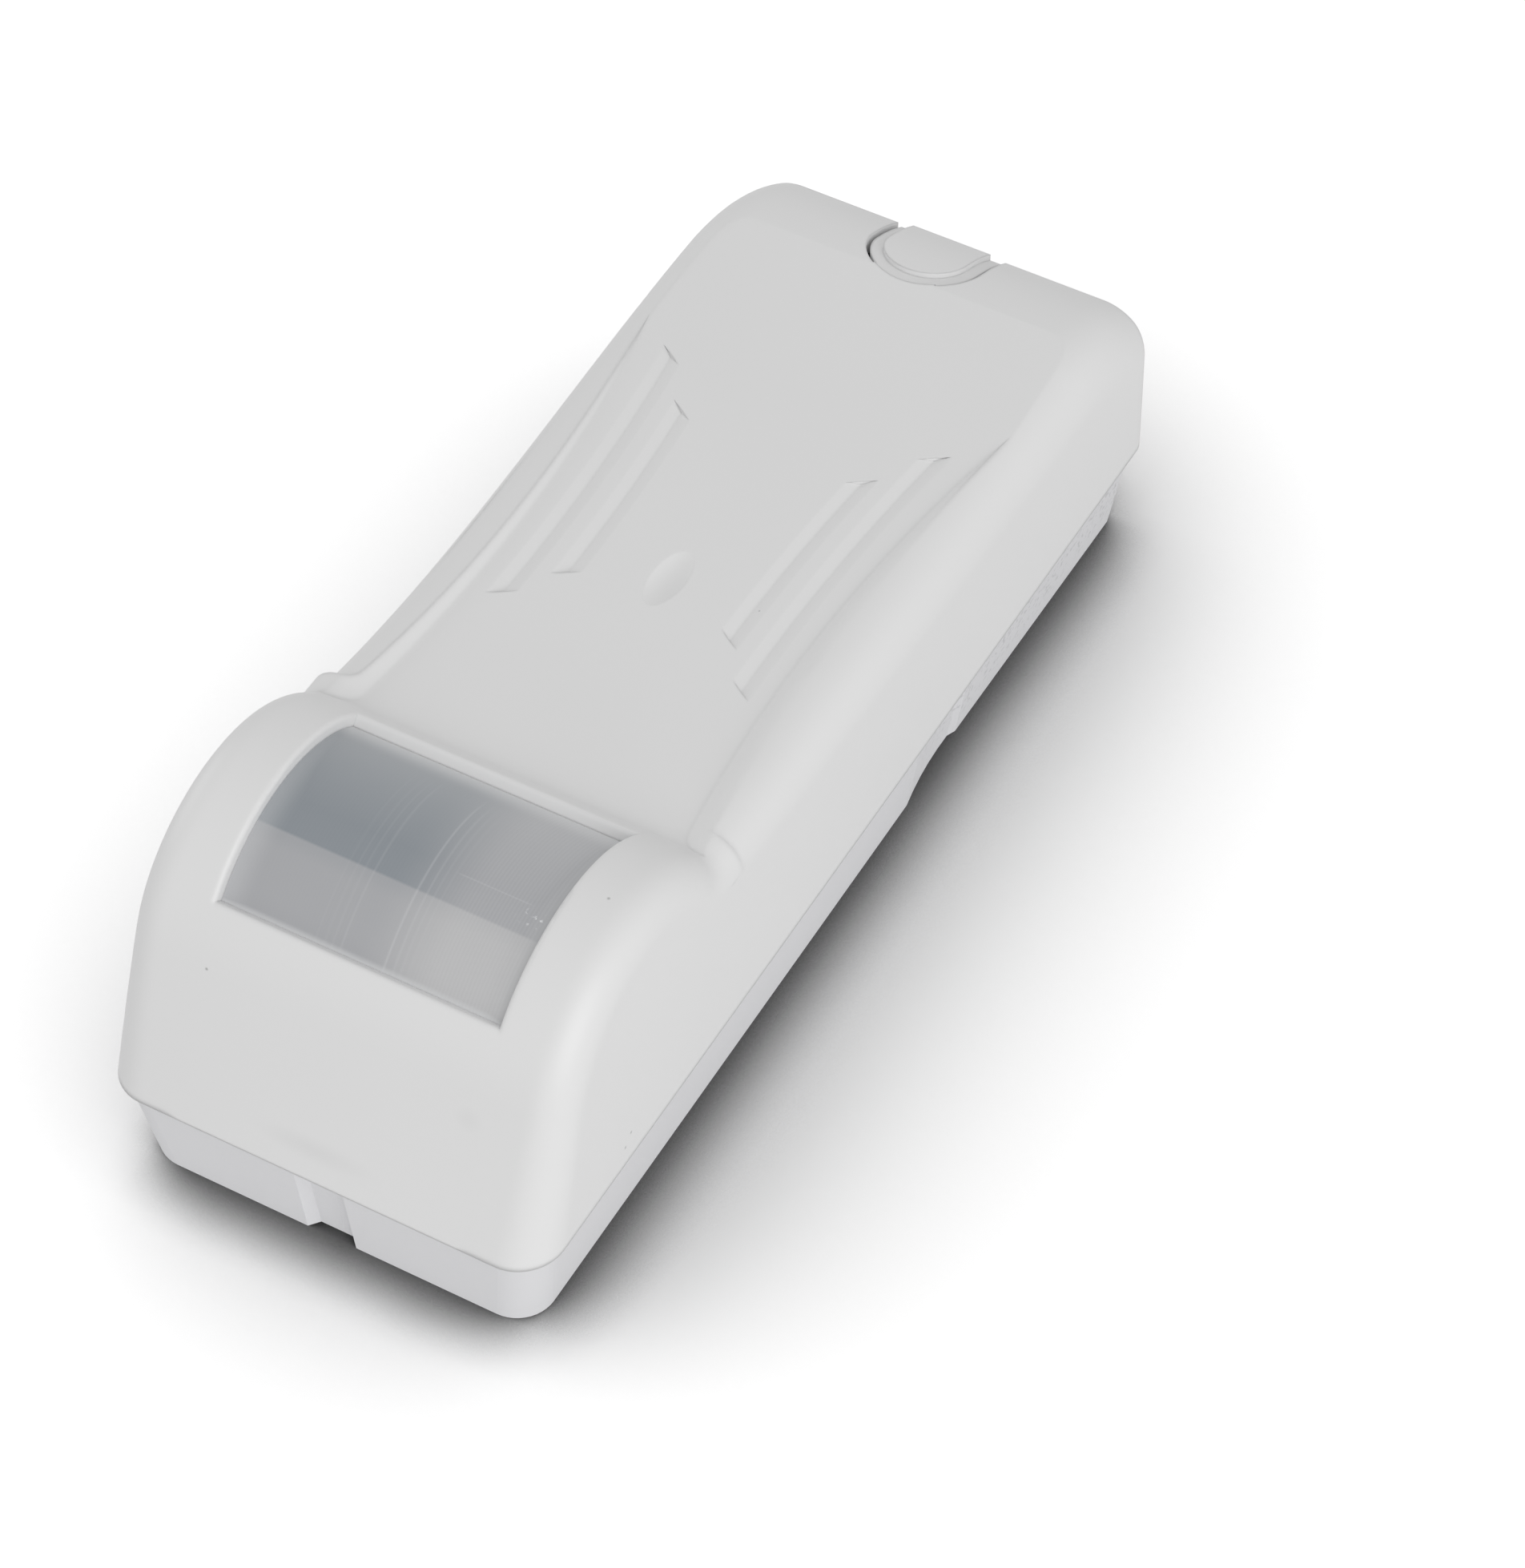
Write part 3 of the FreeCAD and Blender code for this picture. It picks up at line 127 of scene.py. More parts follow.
# %% [markdown]
# Everything outside but the lens is ABS, injection moulded and left with a fine satin skin.
# The skin scatters light, so highlights are broad and weak. A picture of plastic would need
# seams and a layout, so noise is used, which fits every face. Fine bumps give the grain of
# the mould: the real grain is under 0.1 mm, and it is drawn at 0.45 mm so that it shows. A
# slow change of tone keeps the large faces from looking computed. The cover is a neutral white.

# %% Cover: satin moulded ABS
GRAIN_SIZE = 0.45
GRAIN_DEPTH = 0.05
COVER_CLOUD = 28.0
SATIN = 0.42
ABS_IOR = 1.53
material, tree, shader, place = new_material("satin_white_abs")
grain = add(tree, "ShaderNodeTexNoise", {"Vector": place, "Scale": per_mm(GRAIN_SIZE), "Detail": 3.0})
cloud = add(tree, "ShaderNodeTexNoise", {"Vector": place, "Scale": per_mm(COVER_CLOUD), "Detail": 2.0})
tone = add(tree, "ShaderNodeMix", {"Factor": cloud, COLOUR_A: linear("#E5E5E5"),
                                   COLOUR_B: linear("#E9E9E9")}, data_type="RGBA")
bump = add(tree, "ShaderNodeBump", {"Height": grain, "Strength": 0.05, "Distance": GRAIN_DEPTH * MM})
tree.links.new(bump.outputs["Normal"], shader.inputs["Normal"])
shader.inputs["Roughness"].default_value = SATIN
shader.inputs["IOR"].default_value = ABS_IOR
finishes["cover_plastic"] = material
print("grain and tone patches in mm:", GRAIN_SIZE, COVER_CLOUD)

# %% [markdown]
# No moulded edge is quite sharp. Rounding every edge of the solid would cost thousands of
# faces, so a Bevel node turns the light softly over each edge instead and leaves the mesh as
# it is. The cover's outer edges are round, the edges in its sunk panel are crisper, and the
# rounding dies away at the seam, where the cover meets the base in a clean line.

# %% Cover: soft edges
EDGE_RADIUS = 0.8
CRISP_RADIUS = 0.35
PANEL_EDGE = 12.4
EDGE_BLEND = 1
SEAM_Z = 4.6
SHARP_ABOVE_SEAM = 1
ROUND_ABOVE_SEAM = 3
axes = add(tree, "ShaderNodeSeparateXYZ", {"Vector": place})
out_x = add(tree, "ShaderNodeMath", {0: axes.outputs["X"]}, operation="ABSOLUTE")
reach = add(tree, "ShaderNodeMapRange", {"Value": out_x, "From Min": PANEL_EDGE * MM,
                                         "From Max": (PANEL_EDGE + EDGE_BLEND) * MM,
                                         "To Min": CRISP_RADIUS * MM, "To Max": EDGE_RADIUS * MM})
rise = add(tree, "ShaderNodeMapRange", {"Value": axes.outputs["Z"],
                                        "From Min": (SEAM_Z + SHARP_ABOVE_SEAM) * MM,
                                        "From Max": (SEAM_Z + ROUND_ABOVE_SEAM) * MM})
reach = add(tree, "ShaderNodeMath", {0: reach, 1: rise}, operation="MULTIPLY")
soft = add(tree, "ShaderNodeBevel", {"Radius": reach}, samples=6)
tree.links.new(soft.outputs["Normal"], bump.inputs["Normal"])
print("edge radii in mm:", CRISP_RADIUS, EDGE_RADIUS)

# %% [markdown]
# The photographed cover isn't spotless. It has five specks of dirt, a faint stain on the
# head, and a sink, the shallow hollow that plastic leaves over an inner wall as it cools. Each
# is too small to model, and a painted picture would be one more file, so each is a soft
# ellipsoid of darker plastic, set at its own place on the part. The sink's darkening is
# painted shade of its hollow.

# %% Cover: small marks
# Each row has the centre and the half sizes along x, y and z in mm, then the strength
MARKS = (((-11.66, -46.87, 22.96), (0.2, 0.2, 0.2), 0.55),
         ((15.24, -33.02, 32.55), (0.2, 0.2, 0.2), 0.5),
         ((19.55, -37.56, 12.28), (0.22, 0.22, 0.22), 0.5),
         ((19.56, -38.46, 11.42), (0.22, 0.22, 0.22), 0.5),
         ((7.96, 3.13, 26.08), (0.13, 0.13, 0.13), 0.5),
         ((11.61, -47.78, 20.38), (1.5, 1.5, 1.5), 0.035),
         # The last row is the sink, whose darker tone is painted shade
         ((-0.5, -50.69, 12.12), (6.4, 3.0, 1.4), 0.06))
dirt_and_sink_shade = 0.0
for centre, halves, strength in MARKS:
    off = add(tree, "ShaderNodeVectorMath", {0: place, 1: tuple(value * MM for value in centre)},
              operation="SUBTRACT")
    off = add(tree, "ShaderNodeVectorMath", {0: off, 1: tuple(value * MM for value in halves)},
              operation="DIVIDE")
    far_off = add(tree, "ShaderNodeVectorMath", {0: off}, operation="LENGTH")
    spot = add(tree, "ShaderNodeMapRange", {"Value": far_off.outputs["Value"], "To Min": strength,
                                            "To Max": 0.0}, interpolation_type="SMOOTHSTEP")
    dirt_and_sink_shade = add(tree, "ShaderNodeMath", {0: dirt_and_sink_shade, 1: spot}, operation="MAXIMUM")
# Dirt and the painted shade of the sink darken the tone towards this grey
tone = add(tree, "ShaderNodeMix", {"Factor": dirt_and_sink_shade, COLOUR_A: tone, COLOUR_B: linear("#50504E")},
           data_type="RGBA")
tree.links.new(tone.outputs[COLOUR_OUT], shader.inputs["Base Color"])
print("marks on the cover:", len(MARKS))

# %% [markdown]
# The wall base is the same plastic from another mould, a little cooler and darker in tone, so
# the seam shows as a change of colour too. Its tray's rim has darker spots along the far half
# of its right side. The spots are noise again, kept to that place by three soft limits.

# %% Base: satin moulded ABS, a little cooler
BASE_CLOUD = 20.0
material, tree, shader, place = new_material("satin_cool_white_abs")
grain = add(tree, "ShaderNodeTexNoise", {"Vector": place, "Scale": per_mm(GRAIN_SIZE), "Detail": 3.0})
bump = add(tree, "ShaderNodeBump", {"Height": grain, "Strength": 0.06, "Distance": GRAIN_DEPTH * MM})
cloud = add(tree, "ShaderNodeTexNoise", {"Vector": place, "Scale": per_mm(BASE_CLOUD), "Detail": 2.0})
tone = add(tree, "ShaderNodeMix", {"Factor": cloud, COLOUR_A: linear("#E0E0E2"),
                                   COLOUR_B: linear("#E4E4E6")}, data_type="RGBA")
tree.links.new(bump.outputs["Normal"], shader.inputs["Normal"])
shader.inputs["Roughness"].default_value = SATIN
shader.inputs["IOR"].default_value = ABS_IOR
finishes["base_plastic"] = material
print("tone patches of the base in mm:", BASE_CLOUD)

# %% Base: darker spots on the right rim
# Only the peaks of the noise become dark spots. Each limit has its axis, and where along it the
# spots start and are in full, in mm
SPOT_SIZE = 0.55
SPOTS_START = 0.56
SPOTS_FULL = 0.66
SPOT_DARKNESS = 0.3
SPOT_LIMITS = (("X", 16.0, 17.0), ("Y", 8.0, 22.0), ("Z", 1.0, 3.0))
axes = add(tree, "ShaderNodeSeparateXYZ", {"Vector": place})
dark_spots = add(tree, "ShaderNodeTexNoise", {"Vector": place, "Scale": per_mm(SPOT_SIZE), "Detail": 1.0})
dark_spots = add(tree, "ShaderNodeMapRange", {"Value": dark_spots, "From Min": SPOTS_START,
                                        "From Max": SPOTS_FULL, "To Max": SPOT_DARKNESS})
for axis, start, end in SPOT_LIMITS:
    inside = add(tree, "ShaderNodeMapRange", {"Value": axes.outputs[axis], "From Min": start * MM,
                                              "From Max": end * MM})
    dark_spots = add(tree, "ShaderNodeMath", {0: dark_spots, 1: inside}, operation="MULTIPLY")
tone = add(tree, "ShaderNodeMix", {"Factor": dark_spots, COLOUR_A: tone, COLOUR_B: linear("#8E8E90")},
           data_type="RGBA")
tree.links.new(tone.outputs[COLOUR_OUT], shader.inputs["Base Color"])
print("pit size in mm:", SPOT_SIZE)

# %% [markdown]
# The lens is a sheet of milky polyethylene, 0.6 mm thick, bent round the head. It was pressed
# flat with fine straight grooves and then curved, so the edges of its lens zones run round the
# head as thin bright lines. Cutting the grooves in the solid would take a great many faces, so
# they are bumps here, and the light that the grooves and lines catch is painted highlight in the
# sheet's tone. They follow the sheet: one measure goes across it in mm, the other round the
# axis of the head in degrees, from below at the front to above at the back.

# %% Lens: where a point lies on the sheet
HEAD_Y = -33.30
HEAD_Z = 18.15
material, tree, shader, place = new_material("milky_polyethylene")
axes = add(tree, "ShaderNodeSeparateXYZ", {"Vector": place})
across = add(tree, "ShaderNodeMath", {0: axes.outputs["X"], 1: per_mm(1)}, operation="MULTIPLY")
out_y = add(tree, "ShaderNodeMath", {0: axes.outputs["Y"], 1: HEAD_Y * MM}, operation="SUBTRACT")
out_z = add(tree, "ShaderNodeMath", {0: axes.outputs["Z"], 1: HEAD_Z * MM}, operation="SUBTRACT")
turn = add(tree, "ShaderNodeMath", {0: out_y, 1: out_z}, operation="ARCTAN2")
turn = add(tree, "ShaderNodeMath", {0: turn}, operation="DEGREES")
print("axis of the head at y, z in mm:", HEAD_Y, HEAD_Z)

# %% Lens: lines where its zones meet
# Each line has its place across the sheet in mm and how clearly it shows. The lines lean by a
# few tenths of a mm as they climb, and fade out toward the top. Starts and ends are in degrees
ZONE_LINES = ((-4.1, 0.14), (-3.35, 0.2), (-2.7, 0.24), (-1.95, 0.4), (1.8, 0.9), (2.6, 0.5),
              (3.2, 0.28), (3.8, 0.18))
LINE_HALF = 0.17
LINE_LEAN = -0.3
LEAN_STARTS = -46.0
LEAN_ENDS = 20.0
FADE_STARTS = 10.0
FADE_ENDS = 30.0
lean = add(tree, "ShaderNodeMapRange", {"Value": turn, "From Min": LEAN_STARTS,
                                        "From Max": LEAN_ENDS, "To Max": LINE_LEAN},
           interpolation_type="SMOOTHSTEP")
upright = add(tree, "ShaderNodeMath", {0: across, 1: lean}, operation="SUBTRACT")
lines = 0.0
for line_x, clear in ZONE_LINES:
    off = add(tree, "ShaderNodeMath", {0: upright, 1: line_x}, operation="SUBTRACT")
    off = add(tree, "ShaderNodeMath", {0: off}, operation="ABSOLUTE")
    line = add(tree, "ShaderNodeMapRange", {"Value": off, "From Max": LINE_HALF, "To Min": clear,
                                            "To Max": 0.0}, interpolation_type="SMOOTHSTEP")
    lines = add(tree, "ShaderNodeMath", {0: lines, 1: line}, operation="ADD")
ending = add(tree, "ShaderNodeMapRange", {"Value": turn, "From Min": FADE_STARTS,
                                          "From Max": FADE_ENDS, "To Min": 1.0, "To Max": 0.0},
             interpolation_type="SMOOTHSTEP")
lines = add(tree, "ShaderNodeMath", {0: ending, 1: lines}, operation="MULTIPLY")
print("zone lines:", len(ZONE_LINES))

# %% Lens: pressed grooves
# The real pitch is nearer 0.1 mm and is drawn at 0.3 mm so that it shows. The grooves are
# faint up to one place across the sheet and clear from another, both in mm
GROOVE_PITCH = 0.3
GROOVE_LIFT = 0.5
FAINTEST = 0.15
FAINT_UP_TO = 3.0
CLEAR_FROM = 6.5
SHEET_BUMP = 0.2
SHEET_BUMP_DEPTH = 0.03
wave = add(tree, "ShaderNodeMath", {0: across, 1: 2 * math.pi / GROOVE_PITCH}, operation="MULTIPLY")
wave = add(tree, "ShaderNodeMath", {0: wave}, operation="SINE")
wave = add(tree, "ShaderNodeMapRange", {"Value": wave, "From Min": -1.0, "From Max": 1.0},
           interpolation_type="SMOOTHSTEP")
clearer = add(tree, "ShaderNodeMapRange", {"Value": across, "From Min": FAINT_UP_TO,
                                           "From Max": CLEAR_FROM, "To Min": FAINTEST},
              interpolation_type="SMOOTHSTEP")
grooves = add(tree, "ShaderNodeMath", {0: wave, 1: clearer}, operation="MULTIPLY")
height = add(tree, "ShaderNodeMath", {0: grooves, 1: GROOVE_LIFT, 2: lines}, operation="MULTIPLY_ADD")
bump = add(tree, "ShaderNodeBump", {"Height": height, "Strength": SHEET_BUMP,
                                    "Distance": SHEET_BUMP_DEPTH * MM})
tree.links.new(bump.outputs["Normal"], shader.inputs["Normal"])
print("groove pitch in mm:", GROOVE_PITCH)


# %% Lens: the mould's cross line and two small flaws
# A patch of the sheet is given by where it starts, is full, starts to end and has ended, both
# across the sheet in mm and round the head in degrees
def soft_patch(across_edges, turn_edges, strength):
    patch = strength
    for value, edges in ((across, across_edges), (turn, turn_edges)):
        for start, end, low, high in ((*edges[:2], 0.0, 1.0), (*edges[2:], 1.0, 0.0)):
            edge = add(tree, "ShaderNodeMapRange", {"Value": value, "From Min": start,
                                                    "From Max": end, "To Min": low,
                                                    "To Max": high},
                       interpolation_type="SMOOTHSTEP")
            patch = add(tree, "ShaderNodeMath", {0: edge, 1: patch}, operation="MULTIPLY")
    return patch


GRIT_SIZE = 0.45
GRIT_STARTS = 0.58
GRIT_FULL = 0.68
cross = soft_patch((3.4, 4.4, 9.5, 10.6), (-9.7, -9.3, -9.2, -8.8), 1.0)
side_flaw = soft_patch((9.2, 10.8, 11.3, 11.7), (-17.0, -14.5, -13.5, -9.0), 1.0)
low_flaw = soft_patch((2.6, 3.2, 3.3, 4.0), (-46.5, -45.0, -43.0, -41.0), 0.45)
flaws = add(tree, "ShaderNodeMath", {0: side_flaw, 1: low_flaw}, operation="MAXIMUM")
grit = add(tree, "ShaderNodeTexNoise", {"Vector": place, "Scale": per_mm(GRIT_SIZE), "Detail": 3.0})
grit = add(tree, "ShaderNodeMapRange", {"Value": grit, "From Min": GRIT_STARTS,
                                        "From Max": GRIT_FULL}, interpolation_type="SMOOTHSTEP")
flaws = add(tree, "ShaderNodeMath", {0: grit, 1: flaws}, operation="MULTIPLY")
print("grit of the flaws in mm:", GRIT_SIZE)

# %% [markdown]
# Light scatters in the milky sheet. The dark inside of the housing shows blurred through its
# upper part, and the pale apron of the frame through its lower part. A sheet that really let
# light through would be noisy and slow to render, and would need the inside lit, so what shows
# through it is painted into the sheet's colour: painted shade for the dark inside and a paler
# tone for the apron, as two pairs from left to right, and a painted glow of light over the
# upper part and at the lit rims.

# %% Lens: painted shade of the dark inside, and tones seen through the sheet
# The apron ends at one angle. Most of the step there is quick and the rest blurs over some
# degrees. From left to right each tone goes from darker to paler between two places, in mm
APRON_TOP = -20.1
STEP_HALF = 0.6
STEP_BLUR = 7.0
DARK_UP_TO = -1.0
PALE_FROM = 6.5
shade = add(tree, "ShaderNodeMapRange", {"Value": across, "From Min": DARK_UP_TO,
                                         "From Max": PALE_FROM}, interpolation_type="SMOOTHSTEP")
# The upper pair is painted shade, the dark inside of the housing seen through the sheet
painted_shade_inside = add(tree, "ShaderNodeMix", {"Factor": shade, COLOUR_A: linear("#8D9399"),
                                    COLOUR_B: linear("#ADAEB1")}, data_type="RGBA")
lower = add(tree, "ShaderNodeMix", {"Factor": shade, COLOUR_A: linear("#ADAEB1"),
                                    COLOUR_B: linear("#C2C2C3")}, data_type="RGBA")
opening = 0.0
for start, end, share in ((APRON_TOP - STEP_HALF, APRON_TOP + STEP_HALF, 0.8),
                          (APRON_TOP - STEP_BLUR, APRON_TOP, 0.2)):
    step = add(tree, "ShaderNodeMapRange", {"Value": turn, "From Min": start, "From Max": end,
                                            "To Max": share}, interpolation_type="SMOOTHSTEP")
    opening = add(tree, "ShaderNodeMath", {0: step, 1: opening}, operation="ADD")
zone = add(tree, "ShaderNodeMix", {"Factor": opening, COLOUR_A: lower, COLOUR_B: painted_shade_inside},
           data_type="RGBA")
print("apron ends at, in degrees:", APRON_TOP)

# %% Lens: painted light, the glow of the lit sheet
# The painted light grows over the upper part slowly and then quickly, and lightens the rims.
# Each glow has its start and end in degrees and its strength, and each rim has the measure it
# follows as well
SLOW_GLOW = (-8.0, 45.0, 0.36)
QUICK_GLOW = (26.0, 41.0, 0.55)
RIMS = ((across, -9.8, -12.6, 0.32), (across, 10.5, 12.3, 0.4),
        (turn, -46.5, -49.0, 0.8), (turn, 38.0, 40.5, 1.0))
painted_glow = 0.0
for (start, end, strength), curve in ((SLOW_GLOW, "LINEAR"), (QUICK_GLOW, "SMOOTHSTEP")):
    climb = add(tree, "ShaderNodeMapRange", {"Value": turn, "From Min": start, "From Max": end,
                                             "To Max": strength}, interpolation_type=curve)
    painted_glow = add(tree, "ShaderNodeMath", {0: climb, 1: painted_glow}, operation="ADD")
for value, start, end, strength in RIMS:
    painted_rim_light = add(tree, "ShaderNodeMapRange", {"Value": value, "From Min": start, "From Max": end,
                                           "To Max": strength}, interpolation_type="SMOOTHSTEP")
    painted_glow = add(tree, "ShaderNodeMath", {0: painted_glow, 1: painted_rim_light}, operation="MAXIMUM")
# The painted glow lifts the tone towards near white
zone = add(tree, "ShaderNodeMix", {"Factor": painted_glow, COLOUR_A: zone, COLOUR_B: linear("#DFE0E1")},
           data_type="RGBA")
print("lit rims:", len(RIMS))

# %% Lens: painted highlights and pale marks on the tones
# Each pattern has how strongly it brightens the sheet. On the grooves and zone lines this is
# painted highlight, and the cross line and the flaws are paler marks
SHEET_ROUGHNESS = 0.4
POLYETHYLENE_IOR = 1.52
painted_highlights_and_pale_marks = 0.0
for pattern, strength in ((grooves, 0.05), (lines, 0.16), (cross, 0.1), (flaws, 0.9)):
    painted_highlights_and_pale_marks = add(tree, "ShaderNodeMath", {0: pattern, 1: strength, 2: painted_highlights_and_pale_marks},
                 operation="MULTIPLY_ADD", use_clamp=True)
# Painted highlights of grooves and zone lines, and the paler cross line and flaws, lift the tone
seen = add(tree, "ShaderNodeMix", {"Factor": painted_highlights_and_pale_marks, COLOUR_A: zone, COLOUR_B: linear("#F0F1F3")},
           data_type="RGBA")
tree.links.new(seen.outputs[COLOUR_OUT], shader.inputs["Base Color"])
shader.inputs["Roughness"].default_value = SHEET_ROUGHNESS
shader.inputs["IOR"].default_value = POLYETHYLENE_IOR
finishes["lens_sheet"] = material
print("nodes in the lens material:", len(tree.nodes))

# %% [markdown]
# Inside the housing are ordinary parts of a small circuit board. They are seen only when the
# cover is off, but each has the finish of the real one: solder mask, plated steel, moulded
# epoxy, glazed ceramic and dyed thermoplastics. They differ in few ways, so one function makes
# them from a row of values. Grains that are finer in life are drawn at the size given.

# %% Moulded, dipped and clear parts
# A row has the name, colour, roughness, grain in mm, bump strength, IOR and how clear it is
def plastic(name, hex_colour, roughness, grain_mm, strength, ior, clear=0.0):
    material, tree, shader, place = new_material(name)
    grain = add(tree, "ShaderNodeTexNoise", {"Vector": place, "Scale": per_mm(grain_mm),
                                             "Detail": 2.0})
    bump = add(tree, "ShaderNodeBump", {"Height": grain, "Strength": strength,
                                        "Distance": GRAIN_DEPTH * MM})
    tree.links.new(bump.outputs["Normal"], shader.inputs["Normal"])
    shader.inputs["Base Color"].default_value = linear(hex_colour)
    shader.inputs["Roughness"].default_value = roughness
    shader.inputs["IOR"].default_value = ior
    shader.inputs["Transmission Weight"].default_value = clear
    return material


PLASTICS = {
    # Matt and a shade darker than the cover, so it stays quiet behind the lens
    "frame_plastic": ("matt_light_grey_abs", "#C9CBCD", 0.55, 0.4, 0.1, 1.53),
    # Undyed and a little yellow, with a waxy sheen
    "spacer_plastic": ("natural_nylon", "#DFDDD5", 0.45, 0.8, 0.1, 1.53),
    # Open pores swallow light, so it is dull and dark
    "collar_rubber": ("foam_rubber", "#4F4F4F", 0.85, 0.3, 0.5, 1.52),
    # The usual green of terminal blocks, half matt
    "terminal_plastic": ("green_nylon", "#59995F", 0.5, 0.5, 0.15, 1.53),
    # Filled with glass, so its skin is slightly grainy
    "black_plastic": ("black_pbt", "#303030", 0.5, 0.4, 0.2, 1.54),
    # Slippery and smooth, with a clear highlight
    "plunger_plastic": ("red_acetal", "#C4403A", 0.35, 0.6, 0.05, 1.48),
    # Polished mould, so the case shines more than the switch
    "relay_plastic": ("black_relay_pbt", "#38383A", 0.4, 0.4, 0.1, 1.54),
    # Shrunk tight over the can, glossy with slow waves
    "capacitor_sleeve": ("shrunk_pvc_sleeve", "#303855", 0.3, 1.5, 0.1, 1.54),
    # Full of silica dust, so it is matt and finely rough
    "chip_epoxy": ("moulded_epoxy", "#303031", 0.6, 0.12, 0.4, 1.55),
    # Dipped and run, so it is glossy with soft lumps
    "varistor_coating": ("dipped_blue_epoxy", "#3059A9", 0.3, 2.0, 0.3, 1.55),
    # Bright, so that a jumper is easy to find
    "jumper_plastic": ("red_pbt", "#BB2626", 0.45, 0.5, 0.1, 1.54),
    # A thin glaze over the resistor's dark layer
    "resistor_ceramic": ("glazed_resistor", "#3E3E44", 0.3, 0.3, 0.1, 1.6),
    # Fired bare, so it is dull and sandy
    "capacitor_ceramic": ("fired_tan_ceramic", "#BBA685", 0.5, 0.15, 0.3, 1.7),
    # Passes only heat, so to the eye it is a dark mirror
    "filter_glass": ("coated_silicon_window", "#3D3D42", 0.12, 3.0, 0.02, 3.4),
    # Cast clear and dyed, so light goes partly through
    "led_epoxy": ("tinted_clear_epoxy", "#CB3F33", 0.1, 3.0, 0.02, 1.55, 0.6),
    # Polished and almost without colour, so it carries light
    "clear_plastic": ("clear_acrylic", "#F4F6F7", 0.06, 3.0, 0.02, 1.49, 0.95),
}
for slot, values in PLASTICS.items():
    finishes[slot] = plastic(*values)
print("moulded, dipped and clear finishes:", len(PLASTICS))

# %% Metals with a plated or drawn surface
# A row has the name, colour, roughness and grain in mm. The grain makes the gloss uneven, from
# a little smoother than the roughness to a little rougher
SMOOTHER = 0.08
ROUGHER = 0.1


def metal(name, hex_colour, roughness, grain_mm):
    material, tree, shader, place = new_material(name)
    grain = add(tree, "ShaderNodeTexNoise", {"Vector": place, "Scale": per_mm(grain_mm),
                                             "Detail": 4.0})
    rough = add(tree, "ShaderNodeMapRange", {"Value": grain, "To Min": roughness - SMOOTHER,
                                             "To Max": roughness + ROUGHER})
    tree.links.new(rough.outputs["Result"], shader.inputs["Roughness"])
    shader.inputs["Base Color"].default_value = linear(hex_colour)
    shader.inputs["Metallic"].default_value = 1.0
    return material


METALS = {
    # Warm and bright, over a drawn steel can
    "sensor_metal": ("nickel_plate", "#CBC8BF", 0.3, 0.6),
    # Cooler and a little cloudy
    "plated_steel": ("zinc_plated_steel", "#C9C9C6", 0.35, 0.8),
    # Clean and pale, smoothed by the drawing
    "crystal_metal": ("drawn_nickel_silver", "#D6D6D6", 0.3, 0.5),
    # A thin flash of gold, pale yellow and smooth
    "gold_pins": ("flash_gold", "#E7CB8A", 0.25, 0.4),
}
for slot, values in METALS.items():
    finishes[slot] = metal(*values)
print("metals:", len(METALS))

# %% Circuit board under its solder mask
# The glass cloth shows faintly through the glossy lacquer.
WEAVE_SIZE = 0.7
material, tree, shader, place = new_material("green_solder_mask")
weave = add(tree, "ShaderNodeTexChecker", {"Vector": place, "Scale": per_mm(WEAVE_SIZE),
                                           "Color1": linear("#27663D"),
                                           "Color2": linear("#2B6B41")})
tree.links.new(weave.outputs["Color"], shader.inputs["Base Color"])
shader.inputs["Roughness"].default_value = 0.3
shader.inputs["IOR"].default_value = 1.55
finishes["board_laminate"] = material
print("weave in mm:", WEAVE_SIZE)

# %% Give every piece its finish
for row in frame["record"]["subparts"]:
    part = nodes[row["node"]]
    for holder in part.material_slots:
        holder.material = finishes[row["material_slot"]]
    if not part.material_slots:
        part.data.materials.append(finishes[row["material_slot"]])
print("finishes:", len(finishes))

# %% [markdown]
# The part lies on a large sheet of matt white paper. The photographed shadow is the soft halo
# that a retoucher draws: dark grey in a thin ring where the sheet meets the part, fading over
# some centimetres, and weaker at the left. A lamp alone can't give that, because the white
# part throws light back on the sheet. So for the camera the paper darkens by how near the part
# is: one Ambient Occlusion node with a short reach makes the ring, and one with a long reach
# makes the halo. All other rays meet plain paper, so it lights the part as paper does.

# %% Floor: the sheet
FLOOR_HALF = 3.0
sheet = bmesh.new()
bmesh.ops.create_grid(sheet, x_segments=1, y_segments=1, size=FLOOR_HALF)
floor_mesh = bpy.data.meshes.new("floor")
sheet.to_mesh(floor_mesh)
sheet.free()
floor = bpy.data.objects.new("floor", floor_mesh)
bpy.context.scene.collection.objects.link(floor)
print("sheet size in m:", 2 * FLOOR_HALF)

# %% Floor: the dark ring and the halo
# Reaches and places are in mm. The ring fades in between the two places given along x, because
# the photographed sheet has none at the part's left side
NEAR_REACH = 9.0
WIDE_REACH = 100.0
RING_DARKEST = 0.12
DARKEST_UP_TO = 0.4
BRIGHT_FROM = 0.8
RING_STARTS = -22.0
RING_FULL = -13.0
material, tree, shader, place = new_material("white_paper")
near = add(tree, "ShaderNodeAmbientOcclusion", {"Distance": NEAR_REACH * MM}, samples=8)
ring = add(tree, "ShaderNodeMapRange", {"Value": near.outputs["AO"], "From Min": DARKEST_UP_TO,
                                        "From Max": BRIGHT_FROM, "To Min": RING_DARKEST})
axes = add(tree, "ShaderNodeSeparateXYZ", {"Vector": place})
ringed = add(tree, "ShaderNodeMapRange", {"Value": axes.outputs["X"], "From Min": RING_STARTS * MM,
                                          "From Max": RING_FULL * MM},
             interpolation_type="SMOOTHSTEP")
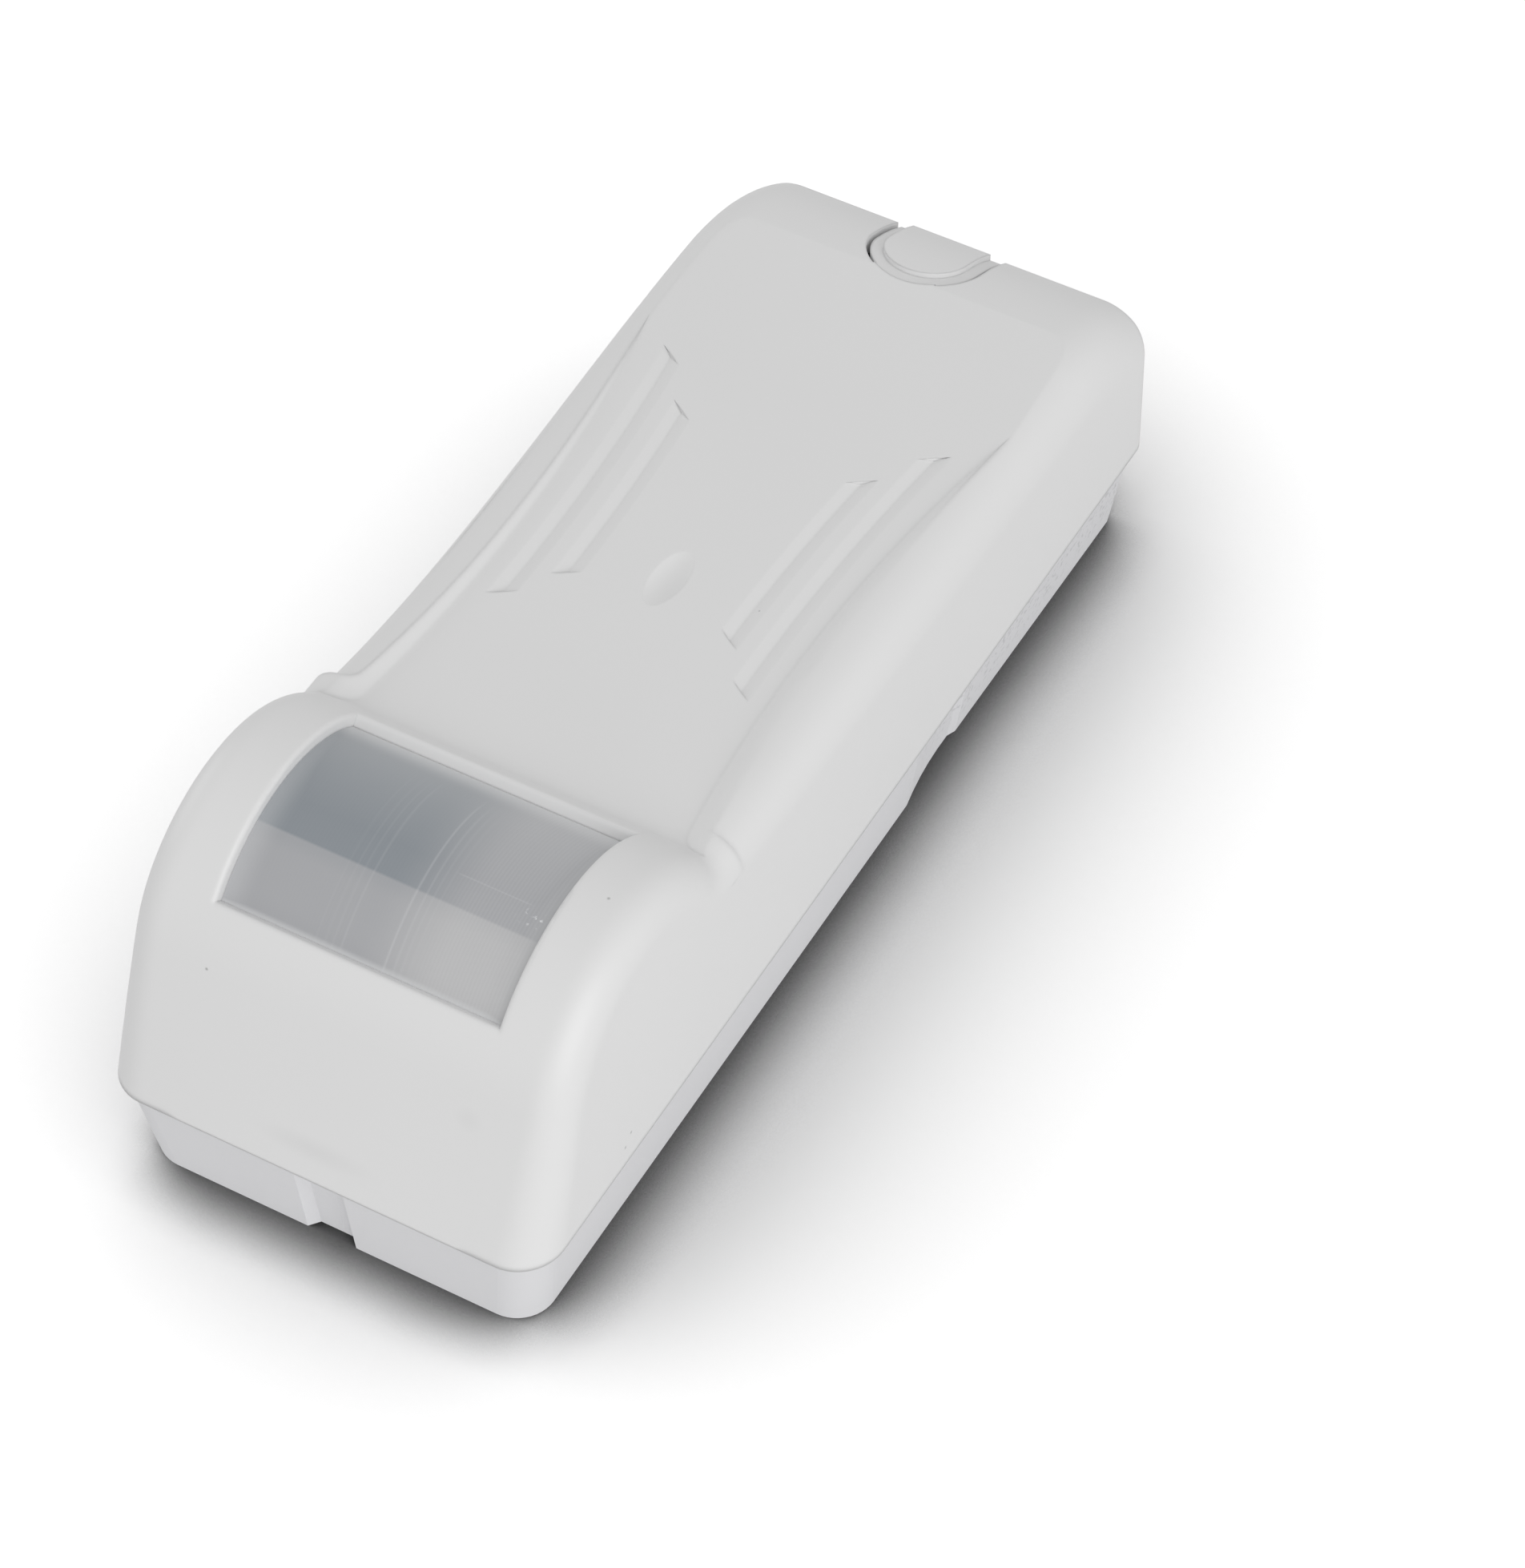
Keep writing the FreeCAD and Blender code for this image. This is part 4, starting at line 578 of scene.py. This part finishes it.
ring = add(tree, "ShaderNodeMix", {"Factor": ringed, NUMBER_A: 1.0, NUMBER_B: ring},
           data_type="FLOAT")
halo = add(tree, "ShaderNodeAmbientOcclusion", {"Distance": WIDE_REACH * MM}, samples=6)
print("reaches in mm:", NEAR_REACH, WIDE_REACH)

# %% Floor: what the camera and the light see of it
# The drawn white lifts the sheet to a clean white in the picture. Plain paper is below 1
DRAWN_WHITE = 1.55
PLAIN_PAPER = 0.9
PAPER_ROUGHNESS = 0.9
halo = add(tree, "ShaderNodeMath", {0: halo.outputs["AO"], 1: DRAWN_WHITE}, operation="MULTIPLY")
drawn = add(tree, "ShaderNodeMath", {0: ring, 1: halo}, operation="MULTIPLY")
rays = add(tree, "ShaderNodeLightPath", {})
paper = add(tree, "ShaderNodeMix", {"Factor": rays.outputs["Is Camera Ray"],
                                    NUMBER_A: PLAIN_PAPER, NUMBER_B: drawn}, data_type="FLOAT")
tree.links.new(paper.outputs[0], shader.inputs["Base Color"])
shader.inputs["Roughness"].default_value = PAPER_ROUGHNESS
shader.inputs["Specular IOR Level"].default_value = 0.0
floor_mesh.materials.append(material)
print("nodes in the paper:", len(tree.nodes))

# %% [markdown]
# A picture of a studio could light the scene, but a plain white room is simpler and has no
# colour of its own. The camera, mirrors and glass see it at full white. Everything else gets
# a weaker light from it, at which the plastics keep the tones that are written above.

# %% World: the white room
SHOWN_STRENGTH = 1.0
LIGHT_STRENGTH = 0.58
world = bpy.data.worlds.new("studio")
bpy.context.scene.world = world
world.use_nodes = True
tree = world.node_tree
tree.nodes.clear()
rays = add(tree, "ShaderNodeLightPath", {})
shows = add(tree, "ShaderNodeMath", {0: rays.outputs["Is Camera Ray"],
                                     1: rays.outputs["Is Glossy Ray"]}, operation="MAXIMUM")
shows = add(tree, "ShaderNodeMath", {0: shows, 1: rays.outputs["Is Transmission Ray"]},
            operation="MAXIMUM")
shown = add(tree, "ShaderNodeBackground", {"Color": linear("#FFFFFF"), "Strength": SHOWN_STRENGTH})
light = add(tree, "ShaderNodeBackground", {"Color": linear("#FFFFFF"), "Strength": LIGHT_STRENGTH})
both = add(tree, "ShaderNodeMixShader", {"Fac": shows, 1: light, 2: shown})
add(tree, "ShaderNodeOutputWorld", {"Surface": both})
print("world strengths:", SHOWN_STRENGTH, LIGHT_STRENGTH)

# %% [markdown]
# Three round soft lamps stand round the part. A key at the near right shades its faces, and a
# low fill at the left keeps that side from going grey. The third, high at the near left, lights
# the sheet alone and throws the shadow to the far right. Light linking keeps the lamps of the
# part and of the sheet apart, as a retoucher does who sets a part on a clean sheet.

# %% Lights
def group_of(name, members):
    group = bpy.data.collections.new(name)
    for member in members:
        group.objects.link(member)
    return group


# A row has the name, azimuth and elevation in degrees, size in m, power in W and what it lights
LAMP_DISTANCE = 0.9
part_only = group_of("lit_part", nodes.values())
floor_only = group_of("lit_floor", [floor])
LAMPS = (("key_right", 55, 30, 0.8, 3.2, part_only),
         ("fill_left", 262, 15, 0.6, 1.2, part_only),
         ("shadow_near_left", 310, 58, 1.0, 2.2, floor_only))
for name, azimuth, elevation, size, power, lights_up in LAMPS:
    data = bpy.data.lights.new(name, "AREA")
    data.shape = "DISK"
    data.size = size
    data.energy = power
    lamp = bpy.data.objects.new(name, data)
    a = math.radians(azimuth)
    e = math.radians(elevation)
    towards = Vector((math.sin(a) * math.cos(e), -math.cos(a) * math.cos(e), math.sin(e)))
    lamp.location = towards * LAMP_DISTANCE
    lamp.rotation_mode = "QUATERNION"
    lamp.rotation_quaternion = towards.to_track_quat("Z", "Y")
    lamp.light_linking.receiver_collection = lights_up
    bpy.context.scene.collection.objects.link(lamp)
print("lamps:", len(LAMPS))

# %% [markdown]
# The Standard view shows each colour as it is written.

# %% Colour management and the end
bpy.context.scene.view_settings.view_transform = "Standard"
